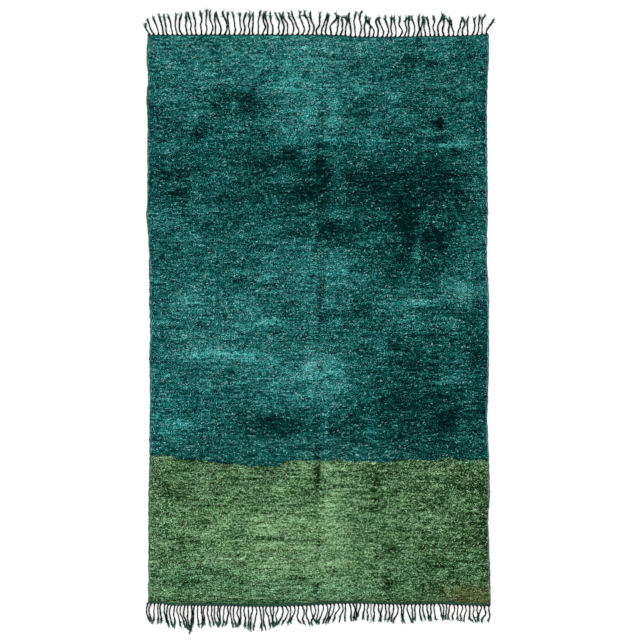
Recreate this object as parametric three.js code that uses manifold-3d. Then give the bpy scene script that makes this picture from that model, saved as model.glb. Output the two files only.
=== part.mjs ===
// Beni Mguild pile rug, lying flat with its knotted face up.
// Millimetres. X runs across the rug, +Y runs along it towards the teal end, +Z is up from the floor.
// The origin is the middle of the rug's footprint, fringes included, at floor level.
// Pieces: the knotted pile field, a wrapped selvedge down each long side, and a flat-woven band at each
// end with the twisted warp ends that come out of it.

import * as THREE from 'three';
import { mergeVertices } from 'three/addons/utils/BufferGeometryUtils.js';
import Module from 'manifold-3d';

const wasm = await Module();
wasm.setup();

// Driving dimensions
const RUG_WIDTH = 1800;
const RUG_LENGTH = 3000; // over the end bands, without the fringes
const PILE_HEIGHT = 20; // foundation and pile together
const GAP = 0.3; // kept between neighbouring pieces

const SELVEDGE_WIDTH = 8;
const SELVEDGE_SHOULDER = 3.6;
const SELVEDGE_HEIGHT = 6.4;

const BAND_THICKNESS = 4.6;
const TOP_BAND_WIDTH = 8;
const BOTTOM_BAND_WIDTH = 14;

const STRAND_WIDTH = 8.4;
const STRAND_HEIGHT = 6.4;
const STRAND_ROOT_HEIGHT = 3.4; // lower than the band that it comes out of
const STRAND_ROOT_DEPTH = 5; // how far a strand starts inside its band
const STRAND_CREST = 0.6; // width of a strand's upper face as a share of its base
const KNOT_SHARE = 0.52; // width of a strand's knot as a share of the pitch there
const KNOT_HEIGHT = 8.2;
const TIP_WIDTH = 0.6; // the cut end is this share of the strand's width and height
const TIP_HEIGHT = 0.5;

// Pile at the rim: a straight foundation edge, then locks that spill outwards over the edge pieces
const RIM_BASE_HEIGHT = 7.2;
const RIM_LOCK_HEIGHT = 10.5;
const RIM_LOCK_REACH = 3.6;
const RIM_LOCK_VARIATION = 0.45; // share of the reach by which locks differ
const RIM_RISE_SHARE = 0.5; // share of the pile's own unevenness that shows near the rim
const RIM_STEPS = [
  { inset: 9, height: 16.5 },
  { inset: 26, height: 19.4 },
];
const FIELD_CELLS_ACROSS = 26;
const FIELD_CELLS_ALONG = 42;
const RIPPLE = { height: 0.6, across: 97, along: 71, bend: 1.3, bendAlong: 260, slantAcross: 410 };

// The centre fold, where the rug was folded lengthwise: a shallow line in the pile
const FOLD = { x: 5, halfWidth: 30, depth: 1.6 };
const FOLD_STRENGTH = [
  { y: -1500, share: 1 },
  { y: -700, share: 1 },
  { y: -300, share: 0.5 },
  { y: 900, share: 0.4 },
  { y: 1300, share: 0.7 },
  { y: 1500, share: 0.3 },
];

// How far each long edge wanders from straight, as a shift along X
const SIDE_WANDER = [
  { y: -1500, left: 4, right: 10 },
  { y: -1360, left: 5, right: 6 },
  { y: -1150, left: 5, right: 1 },
  { y: -1045, left: 5, right: -4 },
  { y: -940, left: 6, right: 5 },
  { y: -730, left: 11, right: 1 },
  { y: -620, left: 10, right: -5 },
  { y: -520, left: 11, right: -9 },
  { y: -410, left: 14, right: -4 },
  { y: -200, left: 10, right: 0 },
  { y: -95, left: 15, right: 0 },
  { y: 120, left: 10, right: 0 },
  { y: 330, left: 9, right: -10 },
  { y: 430, left: 4, right: -9 },
  { y: 540, left: -5, right: -5 },
  { y: 650, left: 0, right: -7 },
  { y: 1060, left: 0, right: -10 },
  { y: 1170, left: -5, right: -10 },
  { y: 1280, left: 4, right: -5 },
  { y: 1380, left: -5, right: 0 },
  { y: 1500, left: 0, right: -1 },
];

// How far each end wanders from straight, as a shift along Y
const END_WANDER = [
  { x: -880, top: 4, bottom: 6 },
  { x: -830, top: 4, bottom: 6 },
  { x: -765, top: 4, bottom: -4 },
  { x: -500, top: 5, bottom: -6 },
  { x: -350, top: 5, bottom: -10 },
  { x: -220, top: 5, bottom: -10 },
  { x: -70, top: 5, bottom: -5 },
  { x: 10, top: 5, bottom: 0 },
  { x: 120, top: 2, bottom: 6 },
  { x: 200, top: -6, bottom: 6 },
  { x: 330, top: -7, bottom: 3 },
  { x: 450, top: -6, bottom: 0 },
  { x: 560, top: -3, bottom: 1 },
  { x: 650, top: -3, bottom: 3 },
  { x: 730, top: -1, bottom: -2 },
  { x: 800, top: 1, bottom: -4 },
  { x: 850, top: 5, bottom: -6 },
  { x: 885, top: 9, bottom: -7 },
];

// Places where the pile stands up or is pressed down, each a soft-edged ellipse
const NAP_PATCHES = [
  { x: -145, y: 1280, acrossBy: 300, alongBy: 190, rise: 1.0 },
  { x: 385, y: 1190, acrossBy: 200, alongBy: 80, rise: 0.8 },
  { x: -65, y: 265, acrossBy: 250, alongBy: 100, rise: 1.0 },
  { x: 655, y: 115, acrossBy: 220, alongBy: 60, rise: 1.0 },
  { x: -630, y: 65, acrossBy: 110, alongBy: 80, rise: 0.8 },
  { x: -475, y: -185, acrossBy: 250, alongBy: 70, rise: 1.2 },
  { x: 40, y: -290, acrossBy: 150, alongBy: 110, rise: 0.8 },
  { x: -275, y: -1055, acrossBy: 190, alongBy: 70, rise: 1.0 },
  { x: 55, y: -1135, acrossBy: 110, alongBy: 300, rise: 0.8 },
  { x: -410, y: 1160, acrossBy: 130, alongBy: 80, rise: -1.4 },
  { x: -725, y: 765, acrossBy: 100, alongBy: 160, rise: -1.0 },
  { x: -55, y: 765, acrossBy: 120, alongBy: 160, rise: -1.2 },
  { x: 445, y: 765, acrossBy: 300, alongBy: 160, rise: -1.2 },
  { x: 120, y: 465, acrossBy: 110, alongBy: 80, rise: -1.4 },
  { x: 460, y: 435, acrossBy: 60, alongBy: 120, rise: -1.4 },
  { x: 635, y: 410, acrossBy: 60, alongBy: 90, rise: -1.4 },
  { x: 635, y: 1035, acrossBy: 50, alongBy: 50, rise: -2.4 },
  { x: -170, y: -580, acrossBy: 170, alongBy: 65, rise: -1.6 },
  { x: 420, y: -605, acrossBy: 130, alongBy: 60, rise: -1.2 },
  { x: 700, y: -500, acrossBy: 160, alongBy: 140, rise: -1.2 },
  { x: 315, y: -910, acrossBy: 50, alongBy: 120, rise: -1.2 },
  { x: 685, y: -1160, acrossBy: 90, alongBy: 70, rise: -1.2 },
];

// The fringes, a row for each stretch along X: pitch between strands, how far they reach,
// how far their tips lean along X, and how far their middles sway before the tip swings back
const TOP_FRINGE = [
  { x: -890, pitch: 24.0, reach: 50, lean: -22, sway: 0 },
  { x: -862, pitch: 24.0, reach: 88, lean: -26, sway: -1 },
  { x: -795, pitch: 25.5, reach: 112, lean: -30, sway: -2 },
  { x: -725, pitch: 25.5, reach: 108, lean: -20, sway: -3 },
  { x: -665, pitch: 24.5, reach: 116, lean: -14, sway: 2 },
  { x: -600, pitch: 24.5, reach: 124, lean: 3, sway: 3 },
  { x: -500, pitch: 25.0, reach: 122, lean: 2, sway: 8 },
  { x: -400, pitch: 25.0, reach: 113, lean: 12, sway: 5 },
  { x: -320, pitch: 25.0, reach: 118, lean: 18, sway: 2 },
  { x: -250, pitch: 26.0, reach: 112, lean: 8, sway: 9 },
  { x: -140, pitch: 26.5, reach: 118, lean: -14, sway: 11 },
  { x: -60, pitch: 26.5, reach: 121, lean: -4, sway: 7 },
  { x: 25, pitch: 25.0, reach: 116, lean: 14, sway: -4 },
  { x: 65, pitch: 25.0, reach: 110, lean: 20, sway: -5 },
  { x: 125, pitch: 25.0, reach: 96, lean: 6, sway: -2 },
  { x: 205, pitch: 24.5, reach: 138, lean: -1, sway: 3 },
  { x: 260, pitch: 23.0, reach: 100, lean: 0, sway: 4 },
  { x: 350, pitch: 23.5, reach: 108, lean: 0, sway: 8 },
  { x: 450, pitch: 23.0, reach: 106, lean: 17, sway: 6 },
  { x: 520, pitch: 23.0, reach: 104, lean: 9, sway: 2 },
  { x: 570, pitch: 22.5, reach: 98, lean: 0, sway: -2 },
  { x: 640, pitch: 25.0, reach: 112, lean: -3, sway: -3 },
  { x: 700, pitch: 25.0, reach: 94, lean: 8, sway: 2 },
  { x: 790, pitch: 25.0, reach: 98, lean: 17, sway: 0 },
  { x: 850, pitch: 25.0, reach: 108, lean: 14, sway: 0 },
  { x: 898, pitch: 25.0, reach: 68, lean: 40, sway: -2 },
];
const BOTTOM_FRINGE = [
  { x: -897, pitch: 17.8, reach: 98, lean: -6, sway: -6 },
  { x: -840, pitch: 17.6, reach: 110, lean: 2, sway: -5 },
  { x: -780, pitch: 17.6, reach: 124, lean: -3, sway: -4 },
  { x: -730, pitch: 17.6, reach: 118, lean: 1, sway: -4 },
  { x: -683, pitch: 17.6, reach: 146, lean: -2, sway: -4 },
  { x: -650, pitch: 17.6, reach: 118, lean: -4, sway: -3 },
  { x: -560, pitch: 17.4, reach: 106, lean: 0, sway: -2 },
  { x: -430, pitch: 17.6, reach: 112, lean: 2, sway: -3 },
  { x: -340, pitch: 19.5, reach: 128, lean: -1, sway: 3 },
  { x: -270, pitch: 19.5, reach: 122, lean: 4, sway: -2 },
  { x: -210, pitch: 20.5, reach: 104, lean: 2, sway: 2 },
  { x: -130, pitch: 22.0, reach: 98, lean: 3, sway: 6 },
  { x: -40, pitch: 21.5, reach: 106, lean: -2, sway: 3 },
  { x: 60, pitch: 20.5, reach: 102, lean: -4, sway: 5 },
  { x: 150, pitch: 19.5, reach: 92, lean: -4, sway: 2 },
  { x: 240, pitch: 19.0, reach: 84, lean: 0, sway: 1 },
  { x: 300, pitch: 18.8, reach: 92, lean: 0, sway: 0 },
  { x: 385, pitch: 19.8, reach: 100, lean: -3, sway: 4 },
  { x: 470, pitch: 20.2, reach: 94, lean: 1, sway: -3 },
  { x: 560, pitch: 20.0, reach: 84, lean: 5, sway: -2 },
  { x: 700, pitch: 20.2, reach: 84, lean: -2, sway: 2 },
  { x: 800, pitch: 20.4, reach: 88, lean: -2, sway: 3 },
  { x: 865, pitch: 20.4, reach: 80, lean: 2, sway: 2 },
  { x: 899, pitch: 20.4, reach: 90, lean: 20, sway: 2 },
];

// A strand's sections from root to tip: share of its reach, and how much of a knot it is there
const STRAND_SECTIONS = [
  { share: 0, knot: 0 },
  { share: 0.24, knot: 0 },
  { share: 0.52, knot: 0 },
  { share: 0.78, knot: 0.05 },
  { share: 0.92, knot: 1 },
  { share: 1, knot: 0.1 },
];
const ROOT_JITTER = 0.065; // these four are shares of the pitch
const LEAN_JITTER = 0.07;
const SWAY_JITTER = 0.06;
const PAIR_PULL = 0.06; // neighbours lean together in pairs by this much
const REACH_JITTER = 0.05; // share of the reach
const EARLY_LEAN = 0.5; // this share of the lean is even, the rest grows towards the tip
const SWAY_TURNS = 0.85; // turns of the sway from root to tip
const DIRECTION_STEP = 0.04; // share of the reach over which a strand's direction is taken

const WOOL_TEAL = { color: 0x1d5451, roughness: 0.96, metalness: 0 };
const WOOL_BAND = { color: 0x16322f, roughness: 0.95, metalness: 0 };
const WOOL_EDGE = { color: 0x17403d, roughness: 0.95, metalness: 0 };

// Reads one column of a table at a place, eased between its rows and level beyond them
function readTable(table, key, column, at) {
  const last = table.length - 1;
  if (at <= table[0][key]) return table[0][column];
  if (at >= table[last][key]) return table[last][column];
  let row = 0;
  while (table[row + 1][key] < at) row += 1;
  const t = (at - table[row][key]) / (table[row + 1][key] - table[row][key]);
  return THREE.MathUtils.lerp(table[row][column], table[row + 1][column], t * t * (3 - 2 * t));
}

// A repeatable number from -1 to 1 for a numbered piece and a numbered use of it
const SCATTER = { number: 127.1, use: 311.7, spread: 43758.5453 };
const USE = { lock: 1, root: 2, reach: 3, lean: 4, sway: 5 };
function jitter(number, use) {
  const spread = Math.sin(number * SCATTER.number + use * SCATTER.use) * SCATTER.spread;
  return 2 * (spread - Math.floor(spread)) - 1;
}

const leftEdge = (y) => -RUG_WIDTH / 2 + readTable(SIDE_WANDER, 'y', 'left', y);
const rightEdge = (y) => RUG_WIDTH / 2 + readTable(SIDE_WANDER, 'y', 'right', y);
const topEdge = (x) => RUG_LENGTH / 2 + readTable(END_WANDER, 'x', 'top', x);
const bottomEdge = (x) => -RUG_LENGTH / 2 + readTable(END_WANDER, 'x', 'bottom', x);

// The pile field's outline lies inside the edge pieces by their widths and the gap.
// A point of it is given by its shares of the way across and along.
function fieldPoint(across, along) {
  const y0 = THREE.MathUtils.lerp(-RUG_LENGTH / 2, RUG_LENGTH / 2, along);
  const inset = SELVEDGE_WIDTH + GAP;
  const x = THREE.MathUtils.lerp(leftEdge(y0) + inset, rightEdge(y0) - inset, across);
  const low = bottomEdge(x) + BOTTOM_BAND_WIDTH + GAP;
  const high = topEdge(x) - TOP_BAND_WIDTH - GAP;
  return { x, y: THREE.MathUtils.lerp(low, high, along) };
}

// Shares of the way from 0 to 1: close together at the rim, even between
function stations(length, cells) {
  const rim = RIM_STEPS.map((step) => step.inset / length);
  const first = rim[rim.length - 1];
  const between = (i) => THREE.MathUtils.lerp(first, 1 - first, i / cells);
  const middle = Array.from({ length: cells + 1 }, (_, i) => between(i));
  const near = rim.slice(0, -1);
  return [0, ...near, ...middle, ...near.map((share) => 1 - share).reverse(), 1];
}
const ACROSS = stations(RUG_WIDTH, FIELD_CELLS_ACROSS);
const ALONG = stations(RUG_LENGTH, FIELD_CELLS_ALONG);

function pileRise(x, y) {
  let rise = 0;
  for (const patch of NAP_PATCHES) {
    const dx = (x - patch.x) / patch.acrossBy;
    const dy = (y - patch.y) / patch.alongBy;
    rise += patch.rise * Math.exp(-dx * dx - dy * dy);
  }
  const across = Math.sin(x / RIPPLE.across + RIPPLE.bend * Math.sin(y / RIPPLE.bendAlong));
  const ripple = RIPPLE.height * across * Math.sin(y / RIPPLE.along + x / RIPPLE.slantAcross);
  const fold = ((x - FOLD.x) / FOLD.halfWidth) ** 2;
  return rise + ripple - FOLD.depth * readTable(FOLD_STRENGTH, 'y', 'share', y) * Math.exp(-fold);
}

// Height of the pile's upper face: low at the rim, then full
function pileTop(x, y, stepsFromRim) {
  if (stepsFromRim === 0) return RIM_LOCK_HEIGHT;
  if (stepsFromRim <= RIM_STEPS.length) {
    return RIM_STEPS[stepsFromRim - 1].height + RIM_RISE_SHARE * pileRise(x, y);
  }
  return PILE_HEIGHT + pileRise(x, y);
}

// Collects corners and triangles of one closed body
class Body {
  constructor() {
    this.positions = [];
    this.index = [];
  }
  corner(x, y, z) {
    this.positions.push(x, y, z);
    return this.positions.length / 3 - 1;
  }
  triangle(a, b, c) {
    this.index.push(a, b, c);
  }
  quad(a, b, c, d) {
    this.triangle(a, b, c);
    this.triangle(a, c, d);
  }
  geometry() {
    const geometry = new THREE.BufferGeometry();
    geometry.setAttribute('position', new THREE.Float32BufferAttribute(this.positions, 3));
    geometry.setIndex(this.index);
    geometry.computeVertexNormals();
    return geometry;
  }
}

// The pile field: a lumpy slab with a flat underside. Its rim goes straight up past the edge pieces,
// then leans out in uneven locks, and the upper face rises inwards from there.
function pileFieldGeometry() {
  const body = new Body();
  const nu = ACROSS.length - 1;
  const nv = ALONG.length - 1;
  const top = ALONG.map((along, j) => ACROSS.map((across, i) => {
    const p = fieldPoint(across, along);
    const stepsFromRim = Math.min(i, nu - i, j, nv - j);
    if (stepsFromRim === 0) {
      const lock = jitter(i + j * ACROSS.length, USE.lock);
      const reach = RIM_LOCK_REACH * (1 - RIM_LOCK_VARIATION + RIM_LOCK_VARIATION * lock);
      if (i === 0) p.x -= reach;
      if (i === nu) p.x += reach;
      if (j === 0) p.y -= reach;
      if (j === nv) p.y += reach;
    }
    return body.corner(p.x, p.y, pileTop(p.x, p.y, stepsFromRim));
  }));
  for (let j = 0; j < nv; j += 1) {
    for (let i = 0; i < nu; i += 1) {
      body.quad(top[j][i], top[j][i + 1], top[j + 1][i + 1], top[j + 1][i]);
    }
  }

  // The way round the rim, anticlockwise from the bottom left corner
  const round = [];
  for (let i = 0; i < nu; i += 1) round.push([i, 0]);
  for (let j = 0; j < nv; j += 1) round.push([nu, j]);
  for (let i = nu; i > 0; i -= 1) round.push([i, nv]);
  for (let j = nv; j > 0; j -= 1) round.push([0, j]);
  const rimCorners = (z) => {
    const corners = new Map();
    for (const [i, j] of round) {
      const p = fieldPoint(ACROSS[i], ALONG[j]);
      corners.set(`${i},${j}`, body.corner(p.x, p.y, z));
    }
    return (i, j) => corners.get(`${i},${j}`);
  };
  const shoulder = rimCorners(RIM_BASE_HEIGHT);
  const floor = rimCorners(0);
  round.forEach(([i, j], k) => {
    const [i2, j2] = round[(k + 1) % round.length];
    body.quad(shoulder(i, j), shoulder(i2, j2), top[j2][i2], top[j][i]);
    body.quad(floor(i, j), floor(i2, j2), shoulder(i2, j2), shoulder(i, j));
  });

  // The underside: each end row joins a straight line of corners, and wide strips lie between them
  const endLine = (j) => ACROSS.map((across, i) => {
    if (i === 0 || i === nu) return floor(i, j);
    const a = fieldPoint(0, ALONG[j]);
    const b = fieldPoint(1, ALONG[j]);
    return body.corner(THREE.MathUtils.lerp(a.x, b.x, across), THREE.MathUtils.lerp(a.y, b.y, across), 0);
  });
  const firstInner = RIM_STEPS.length + 1;
  const lastInner = nv - firstInner;
  const lower = endLine(firstInner);
  const upper = endLine(lastInner);
  const underQuad = (a, b, c, d) => body.quad(a, d, c, b);
  for (let i = 0; i < nu; i += 1) {
    if (i > 0 && i < nu - 1) {
      underQuad(floor(i, 0), floor(i + 1, 0), lower[i + 1], lower[i]);
      underQuad(upper[i], upper[i + 1], floor(i + 1, nv), floor(i, nv));
    }
  }
  const rimRows = Array.from({ length: firstInner + 1 }, (_, j) => j);
  underSide(body, floor, lower, rimRows, 0, nu);
  underSide(body, floor, upper, rimRows.map((j) => nv - j), nv, nu);
  for (let j = firstInner; j < lastInner; j += 1) {
    if (j === firstInner) {
      fanUp(body, lower, floor(0, j + 1), floor(nu, j + 1));
    } else if (j === lastInner - 1) {
      fanDown(body, upper, floor(0, j), floor(nu, j));
    } else {
      underQuad(floor(0, j), floor(nu, j), floor(nu, j + 1), floor(0, j + 1));
    }
  }
  return body.geometry();
}

// Fills the underside between a side's closely spaced rim corners and the next corner in
function underSide(body, floor, line, rows, endRow, nu) {
  const flip = endRow !== 0;
  const add = (a, b, c) => (flip ? body.triangle(a, b, c) : body.triangle(a, c, b));
  for (let k = 0; k + 1 < rows.length; k += 1) {
    add(floor(0, rows[k]), floor(1, endRow), floor(0, rows[k + 1]));
    add(floor(nu, rows[k + 1]), floor(nu - 1, endRow), floor(nu, rows[k]));
  }
  add(floor(0, rows[rows.length - 1]), floor(1, endRow), line[1]);
  add(line[nu - 1], floor(nu - 1, endRow), floor(nu, rows[rows.length - 1]));
}

function fanUp(body, line, left, right) {
  for (let i = 0; i + 1 < line.length; i += 1) body.triangle(line[i], left, line[i + 1]);
  body.triangle(line[line.length - 1], left, right);
}

function fanDown(body, line, left, right) {
  for (let i = 0; i + 1 < line.length; i += 1) body.triangle(line[i], line[i + 1], left);
  body.triangle(line[line.length - 1], right, left);
}

// Joins rings of corners, all listed the same way round, into a closed body with flat ends
function carriedProfile(rings) {
  const body = new Body();
  const corners = rings.map((ring) => ring.map((p) => body.corner(p[0], p[1], p[2])));
  const sides = rings[0].length;
  for (let k = 0; k + 1 < corners.length; k += 1) {
    for (let s = 0; s < sides; s += 1) {
      const t = (s + 1) % sides;
      body.quad(corners[k][s], corners[k][t], corners[k + 1][t], corners[k + 1][s]);
    }
  }
  const last = corners[corners.length - 1];
  for (let s = 1; s + 1 < sides; s += 1) {
    body.triangle(corners[0][0], corners[0][s + 1], corners[0][s]);
    body.triangle(last[0], last[s], last[s + 1]);
  }
  return body.geometry();
}

// A selvedge: a rounded ridge with a flat underside, along the side of the pile field.
// side is -1 for the left long edge and 1 for the right one.
function selvedgeGeometry(side) {
  const rings = ALONG.map((along) => {
    const p = fieldPoint(side < 0 ? 0 : 1, along);
    const inner = p.x + side * GAP;
    const outer = inner + side * SELVEDGE_WIDTH;
    const crown = (inner + outer) / 2;
    const ring = [
      [inner, p.y, 0],
      [inner, p.y, SELVEDGE_SHOULDER],
      [crown, p.y, SELVEDGE_HEIGHT],
      [outer, p.y, SELVEDGE_SHOULDER],
      [outer, p.y, 0],
    ];
    return side < 0 ? ring.reverse() : ring;
  });
  return carriedProfile(rings);
}

// A flat-woven end band over the rug's full width, with its corners at the pile field's own stations.
// end is 1 for the top and -1 for the bottom.
function bandGeometry(end, width) {
  const along = end > 0 ? 1 : 0;
  const edge = end > 0 ? topEdge : bottomEdge;
  const y0 = end * RUG_LENGTH / 2;
  const xs = [leftEdge(y0), ...ACROSS.map((across) => fieldPoint(across, along).x), rightEdge(y0)];
  const rings = xs.map((x) => {
    const outer = edge(x);
    const inner = outer - end * width;
    const ring = [
      [x, outer, 0],
      [x, outer, BAND_THICKNESS],
      [x, inner, BAND_THICKNESS],
      [x, inner, 0],
    ];
    return end > 0 ? ring : ring.reverse();
  });
  return carriedProfile(rings);
}

// Where the strands of a fringe start: stepping along X by the table's pitch
function strandRoots(fringe) {
  const roots = [];
  const last = fringe[fringe.length - 1].x;
  let x = fringe[0].x;
  while (x <= last) {
    const pitch = readTable(fringe, 'x', 'pitch', x);
    roots.push(x + (roots.length > 0 ? pitch * ROOT_JITTER * jitter(roots.length, USE.root) : 0));
    x += pitch;
  }
  return roots;
}

// One strand: a path on the floor that leans and sways, with a four-sided section that is widest at
// its knot and has a flat underside
function strandGeometry(fringe, number, rootX, rootY, end) {
  const pitch = readTable(fringe, 'x', 'pitch', rootX);
  const reach = readTable(fringe, 'x', 'reach', rootX) * (1 + REACH_JITTER * jitter(number, USE.reach));
  const pull = (number % 2 === 0 ? PAIR_PULL : -PAIR_PULL) + LEAN_JITTER * jitter(number, USE.lean);
  const lean = readTable(fringe, 'x', 'lean', rootX) + pitch * pull;
  const sway = readTable(fringe, 'x', 'sway', rootX) + pitch * SWAY_JITTER * jitter(number, USE.sway);
  const path = (share) => new THREE.Vector2(
    rootX + lean * share * (EARLY_LEAN + (1 - EARLY_LEAN) * share)
      + sway * Math.sin(2 * Math.PI * SWAY_TURNS * share),
    rootY + end * (share * (reach + STRAND_ROOT_DEPTH) - STRAND_ROOT_DEPTH),
  );
  const rings = STRAND_SECTIONS.map(({ share, knot }, k) => {
    const here = path(share);
    const ahead = path(Math.min(1, share + DIRECTION_STEP));
    ahead.sub(path(Math.max(0, share - DIRECTION_STEP))).normalize();
    const tip = k === STRAND_SECTIONS.length - 1;
    const width = THREE.MathUtils.lerp(STRAND_WIDTH, KNOT_SHARE * pitch, knot) * (tip ? TIP_WIDTH : 1);
    const full = k === 0 ? STRAND_ROOT_HEIGHT : THREE.MathUtils.lerp(STRAND_HEIGHT, KNOT_HEIGHT, knot);
    const height = full * (tip ? TIP_HEIGHT : 1);
    const base = width / 2;
    const crest = base * STRAND_CREST;
    const place = (aside, z) => [here.x + ahead.y * aside, here.y - ahead.x * aside, z];
    return [place(-base, 0), place(-crest, height), place(crest, height), place(base, 0)];
  });
  return carriedProfile(rings);
}

function toManifold(geometry) {
  const bare = geometry.clone();
  bare.deleteAttribute('normal');
  const merged = mergeVertices(bare, 1e-4);
  return new wasm.Manifold(new wasm.Mesh({
    numProp: 3,
    vertProperties: new Float32Array(merged.attributes.position.array),
    triVerts: new Uint32Array(merged.index.array),
  }));
}

function toGeometry(solid) {
  const mesh = solid.getMesh();
  const geometry = new THREE.BufferGeometry();
  geometry.setAttribute('position', new THREE.BufferAttribute(new Float32Array(mesh.vertProperties), 3));
  geometry.setIndex(Array.from(mesh.triVerts));
  geometry.computeVertexNormals();
  return geometry;
}

// An end band and its strands in one piece
function endFringeGeometry(end, width, fringe) {
  const edge = end > 0 ? topEdge : bottomEdge;
  let solid = toManifold(bandGeometry(end, width));
  strandRoots(fringe).forEach((x, number) => {
    solid = solid.add(toManifold(strandGeometry(fringe, number, x, edge(x), end)));
  });
  return toGeometry(solid);
}

function piece(name, geometry, finish) {
  const mesh = new THREE.Mesh(geometry, new THREE.MeshStandardMaterial(finish));
  mesh.name = name;
  return mesh;
}

const rug = new THREE.Group();
rug.add(
  piece('pile_field', pileFieldGeometry(), WOOL_TEAL),
  piece('selvedge_left', selvedgeGeometry(-1), WOOL_EDGE),
  piece('selvedge_right', selvedgeGeometry(1), WOOL_EDGE),
  piece('end_fringe_top', endFringeGeometry(1, TOP_BAND_WIDTH, TOP_FRINGE), WOOL_BAND),
  piece('end_fringe_bottom', endFringeGeometry(-1, BOTTOM_BAND_WIDTH, BOTTOM_FRINGE), WOOL_BAND),
);

// The origin goes to the middle of the footprint
const footprint = new THREE.Box3().setFromObject(rug, true);
const middle = footprint.getCenter(new THREE.Vector3());
rug.position.set(-middle.x, -middle.y, 0);

export default rug;
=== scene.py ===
# Beni Mguild rug, dressed for looks: foundation weave, knotted pile, wrapped selvedges, woven end bands
# and twisted warp fringes. Shapes are worked out in millimetres from the rug's own middle, as in the CAD
# source, and putPiece writes them in metres in the CAD model's frame.

import math

import bpy
import numpy as np
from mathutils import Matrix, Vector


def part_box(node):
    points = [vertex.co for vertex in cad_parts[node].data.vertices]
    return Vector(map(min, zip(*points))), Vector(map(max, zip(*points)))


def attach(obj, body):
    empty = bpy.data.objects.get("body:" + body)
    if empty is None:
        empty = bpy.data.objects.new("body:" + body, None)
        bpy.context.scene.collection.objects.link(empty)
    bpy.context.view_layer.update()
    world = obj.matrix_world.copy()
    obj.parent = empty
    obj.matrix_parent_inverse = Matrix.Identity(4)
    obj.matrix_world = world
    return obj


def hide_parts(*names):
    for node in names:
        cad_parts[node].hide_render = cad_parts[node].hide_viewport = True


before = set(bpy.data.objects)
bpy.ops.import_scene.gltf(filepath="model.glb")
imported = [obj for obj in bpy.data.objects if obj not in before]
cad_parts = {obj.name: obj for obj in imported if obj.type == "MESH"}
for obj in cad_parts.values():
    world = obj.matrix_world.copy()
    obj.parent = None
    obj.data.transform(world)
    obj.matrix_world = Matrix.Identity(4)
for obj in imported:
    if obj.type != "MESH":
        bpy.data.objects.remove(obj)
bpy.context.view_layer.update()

# The rug's own middle in the frame: the footprint's middle, fringes included, is a little off
middlePlan = {
    "fromSelvedge": 890.85,  # mm from the middle of the left selvedge to the rug's
    "fromBands": -2.5,  # mm from halfway between the end bands, along Y
}
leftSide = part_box("selvedge_left")
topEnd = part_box("end_fringe_top")
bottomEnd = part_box("end_fringe_bottom")
rugMiddle = np.array([
    500 * (leftSide[0].x + leftSide[1].x) + middlePlan["fromSelvedge"],  # half the sum, in mm
    500 * (topEnd[0].y + bottomEnd[1].y) + middlePlan["fromBands"],
    0.0,
])
print("frame loaded, the rug's middle is at", rugMiddle.round(2), "mm")


def addObject(name, data):
    thing = bpy.data.objects.new(name, data)
    bpy.context.scene.collection.objects.link(thing)
    return thing


# The camera hangs over the rug and looks straight down
cameraPlan = {
    "aim": (10.0, 0.0),  # the point of the rug straight below the lens, mm from its middle
    "lens": 90.0,
    "sensor": 36.0,
    "seen": 3369.5,  # mm of rug across the picture, at the pile
    "level": 16.0,  # height of the pile that is in scale
}


def makeCamera(plan):
    data = bpy.data.cameras.new("camera")
    data.lens = plan["lens"]
    data.sensor_width = plan["sensor"]
    data.dof.use_dof = False
    camera = addObject("camera", data)
    height = plan["seen"] * plan["lens"] / plan["sensor"] + plan["level"]
    camera.location = (np.array([*plan["aim"], height]) + rugMiddle) / 1000
    bpy.context.scene.camera = camera


makeCamera(cameraPlan)
bpy.context.scene.view_settings.view_transform = "Standard"
print("camera placed")

# The outline of the rug, as in the CAD source
rugPlan = {
    "width": 1800.0,
    "length": 3000.0,  # over the end bands, without the fringes
    "gap": 0.3,  # between neighbouring pieces
    "selvedge": 8.0,
    "topBand": 8.0,
    "bottomBand": 14.0,
}

# y, then how far the left and the right edge wander along X
sideWander = [
    (-1500, 4, 10), (-1360, 5, 6), (-1150, 5, 1), (-1045, 5, -4), (-940, 6, 5), (-730, 11, 1),
    (-620, 10, -5), (-520, 11, -9), (-410, 14, -4), (-200, 10, 0), (-95, 15, 0), (120, 10, 0),
    (330, 9, -10), (430, 4, -9), (540, -5, -5), (650, 0, -7), (1060, 0, -10), (1170, -5, -10),
    (1280, 4, -5), (1380, -5, 0), (1500, 0, -1),
]

# x, then how far the top and the bottom end wander along Y
endWander = [
    (-880, 4, 6), (-830, 4, 6), (-765, 4, -4), (-500, 5, -6), (-350, 5, -10), (-220, 5, -10),
    (-70, 5, -5), (10, 5, 0), (120, 2, 6), (200, -6, 6), (330, -7, 3), (450, -6, 0), (560, -3, 1),
    (650, -3, 3), (730, -1, -2), (800, 1, -4), (850, 5, -6), (885, 9, -7),
]

# x, then the y where the teal pile's tips end and the green begins
dyeLine = [
    (-890, -718), (-762, -719), (-752, -739), (-602, -740), (-562, -755), (-436, -763), (-362, -776),
    (-209, -776), (-177, -750), (-119, -744), (145, -744), (155, -750), (383, -750), (462, -742),
    (900, -742),
]


def eased(t):
    return t * t * (3 - 2 * t)


# A table's column at many places: level beyond its ends, eased between its rows by t²(3 - 2t)
def readTable(rows, column, at):
    table = np.array(rows, float)
    row = np.clip(np.searchsorted(table[:, 0], at) - 1, 0, len(table) - 2)
    step = (at - table[row, 0]) / (table[row + 1, 0] - table[row, 0])
    share = eased(np.clip(step, 0, 1))
    return table[row, column] * (1 - share) + table[row + 1, column] * share


def leftEdge(y):
    return -rugPlan["width"] / 2 + readTable(sideWander, 1, y)


def rightEdge(y):
    return rugPlan["width"] / 2 + readTable(sideWander, 2, y)


def topEdge(x):
    return rugPlan["length"] / 2 + readTable(endWander, 1, x)


def bottomEdge(x):
    return -rugPlan["length"] / 2 + readTable(endWander, 2, x)


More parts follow.
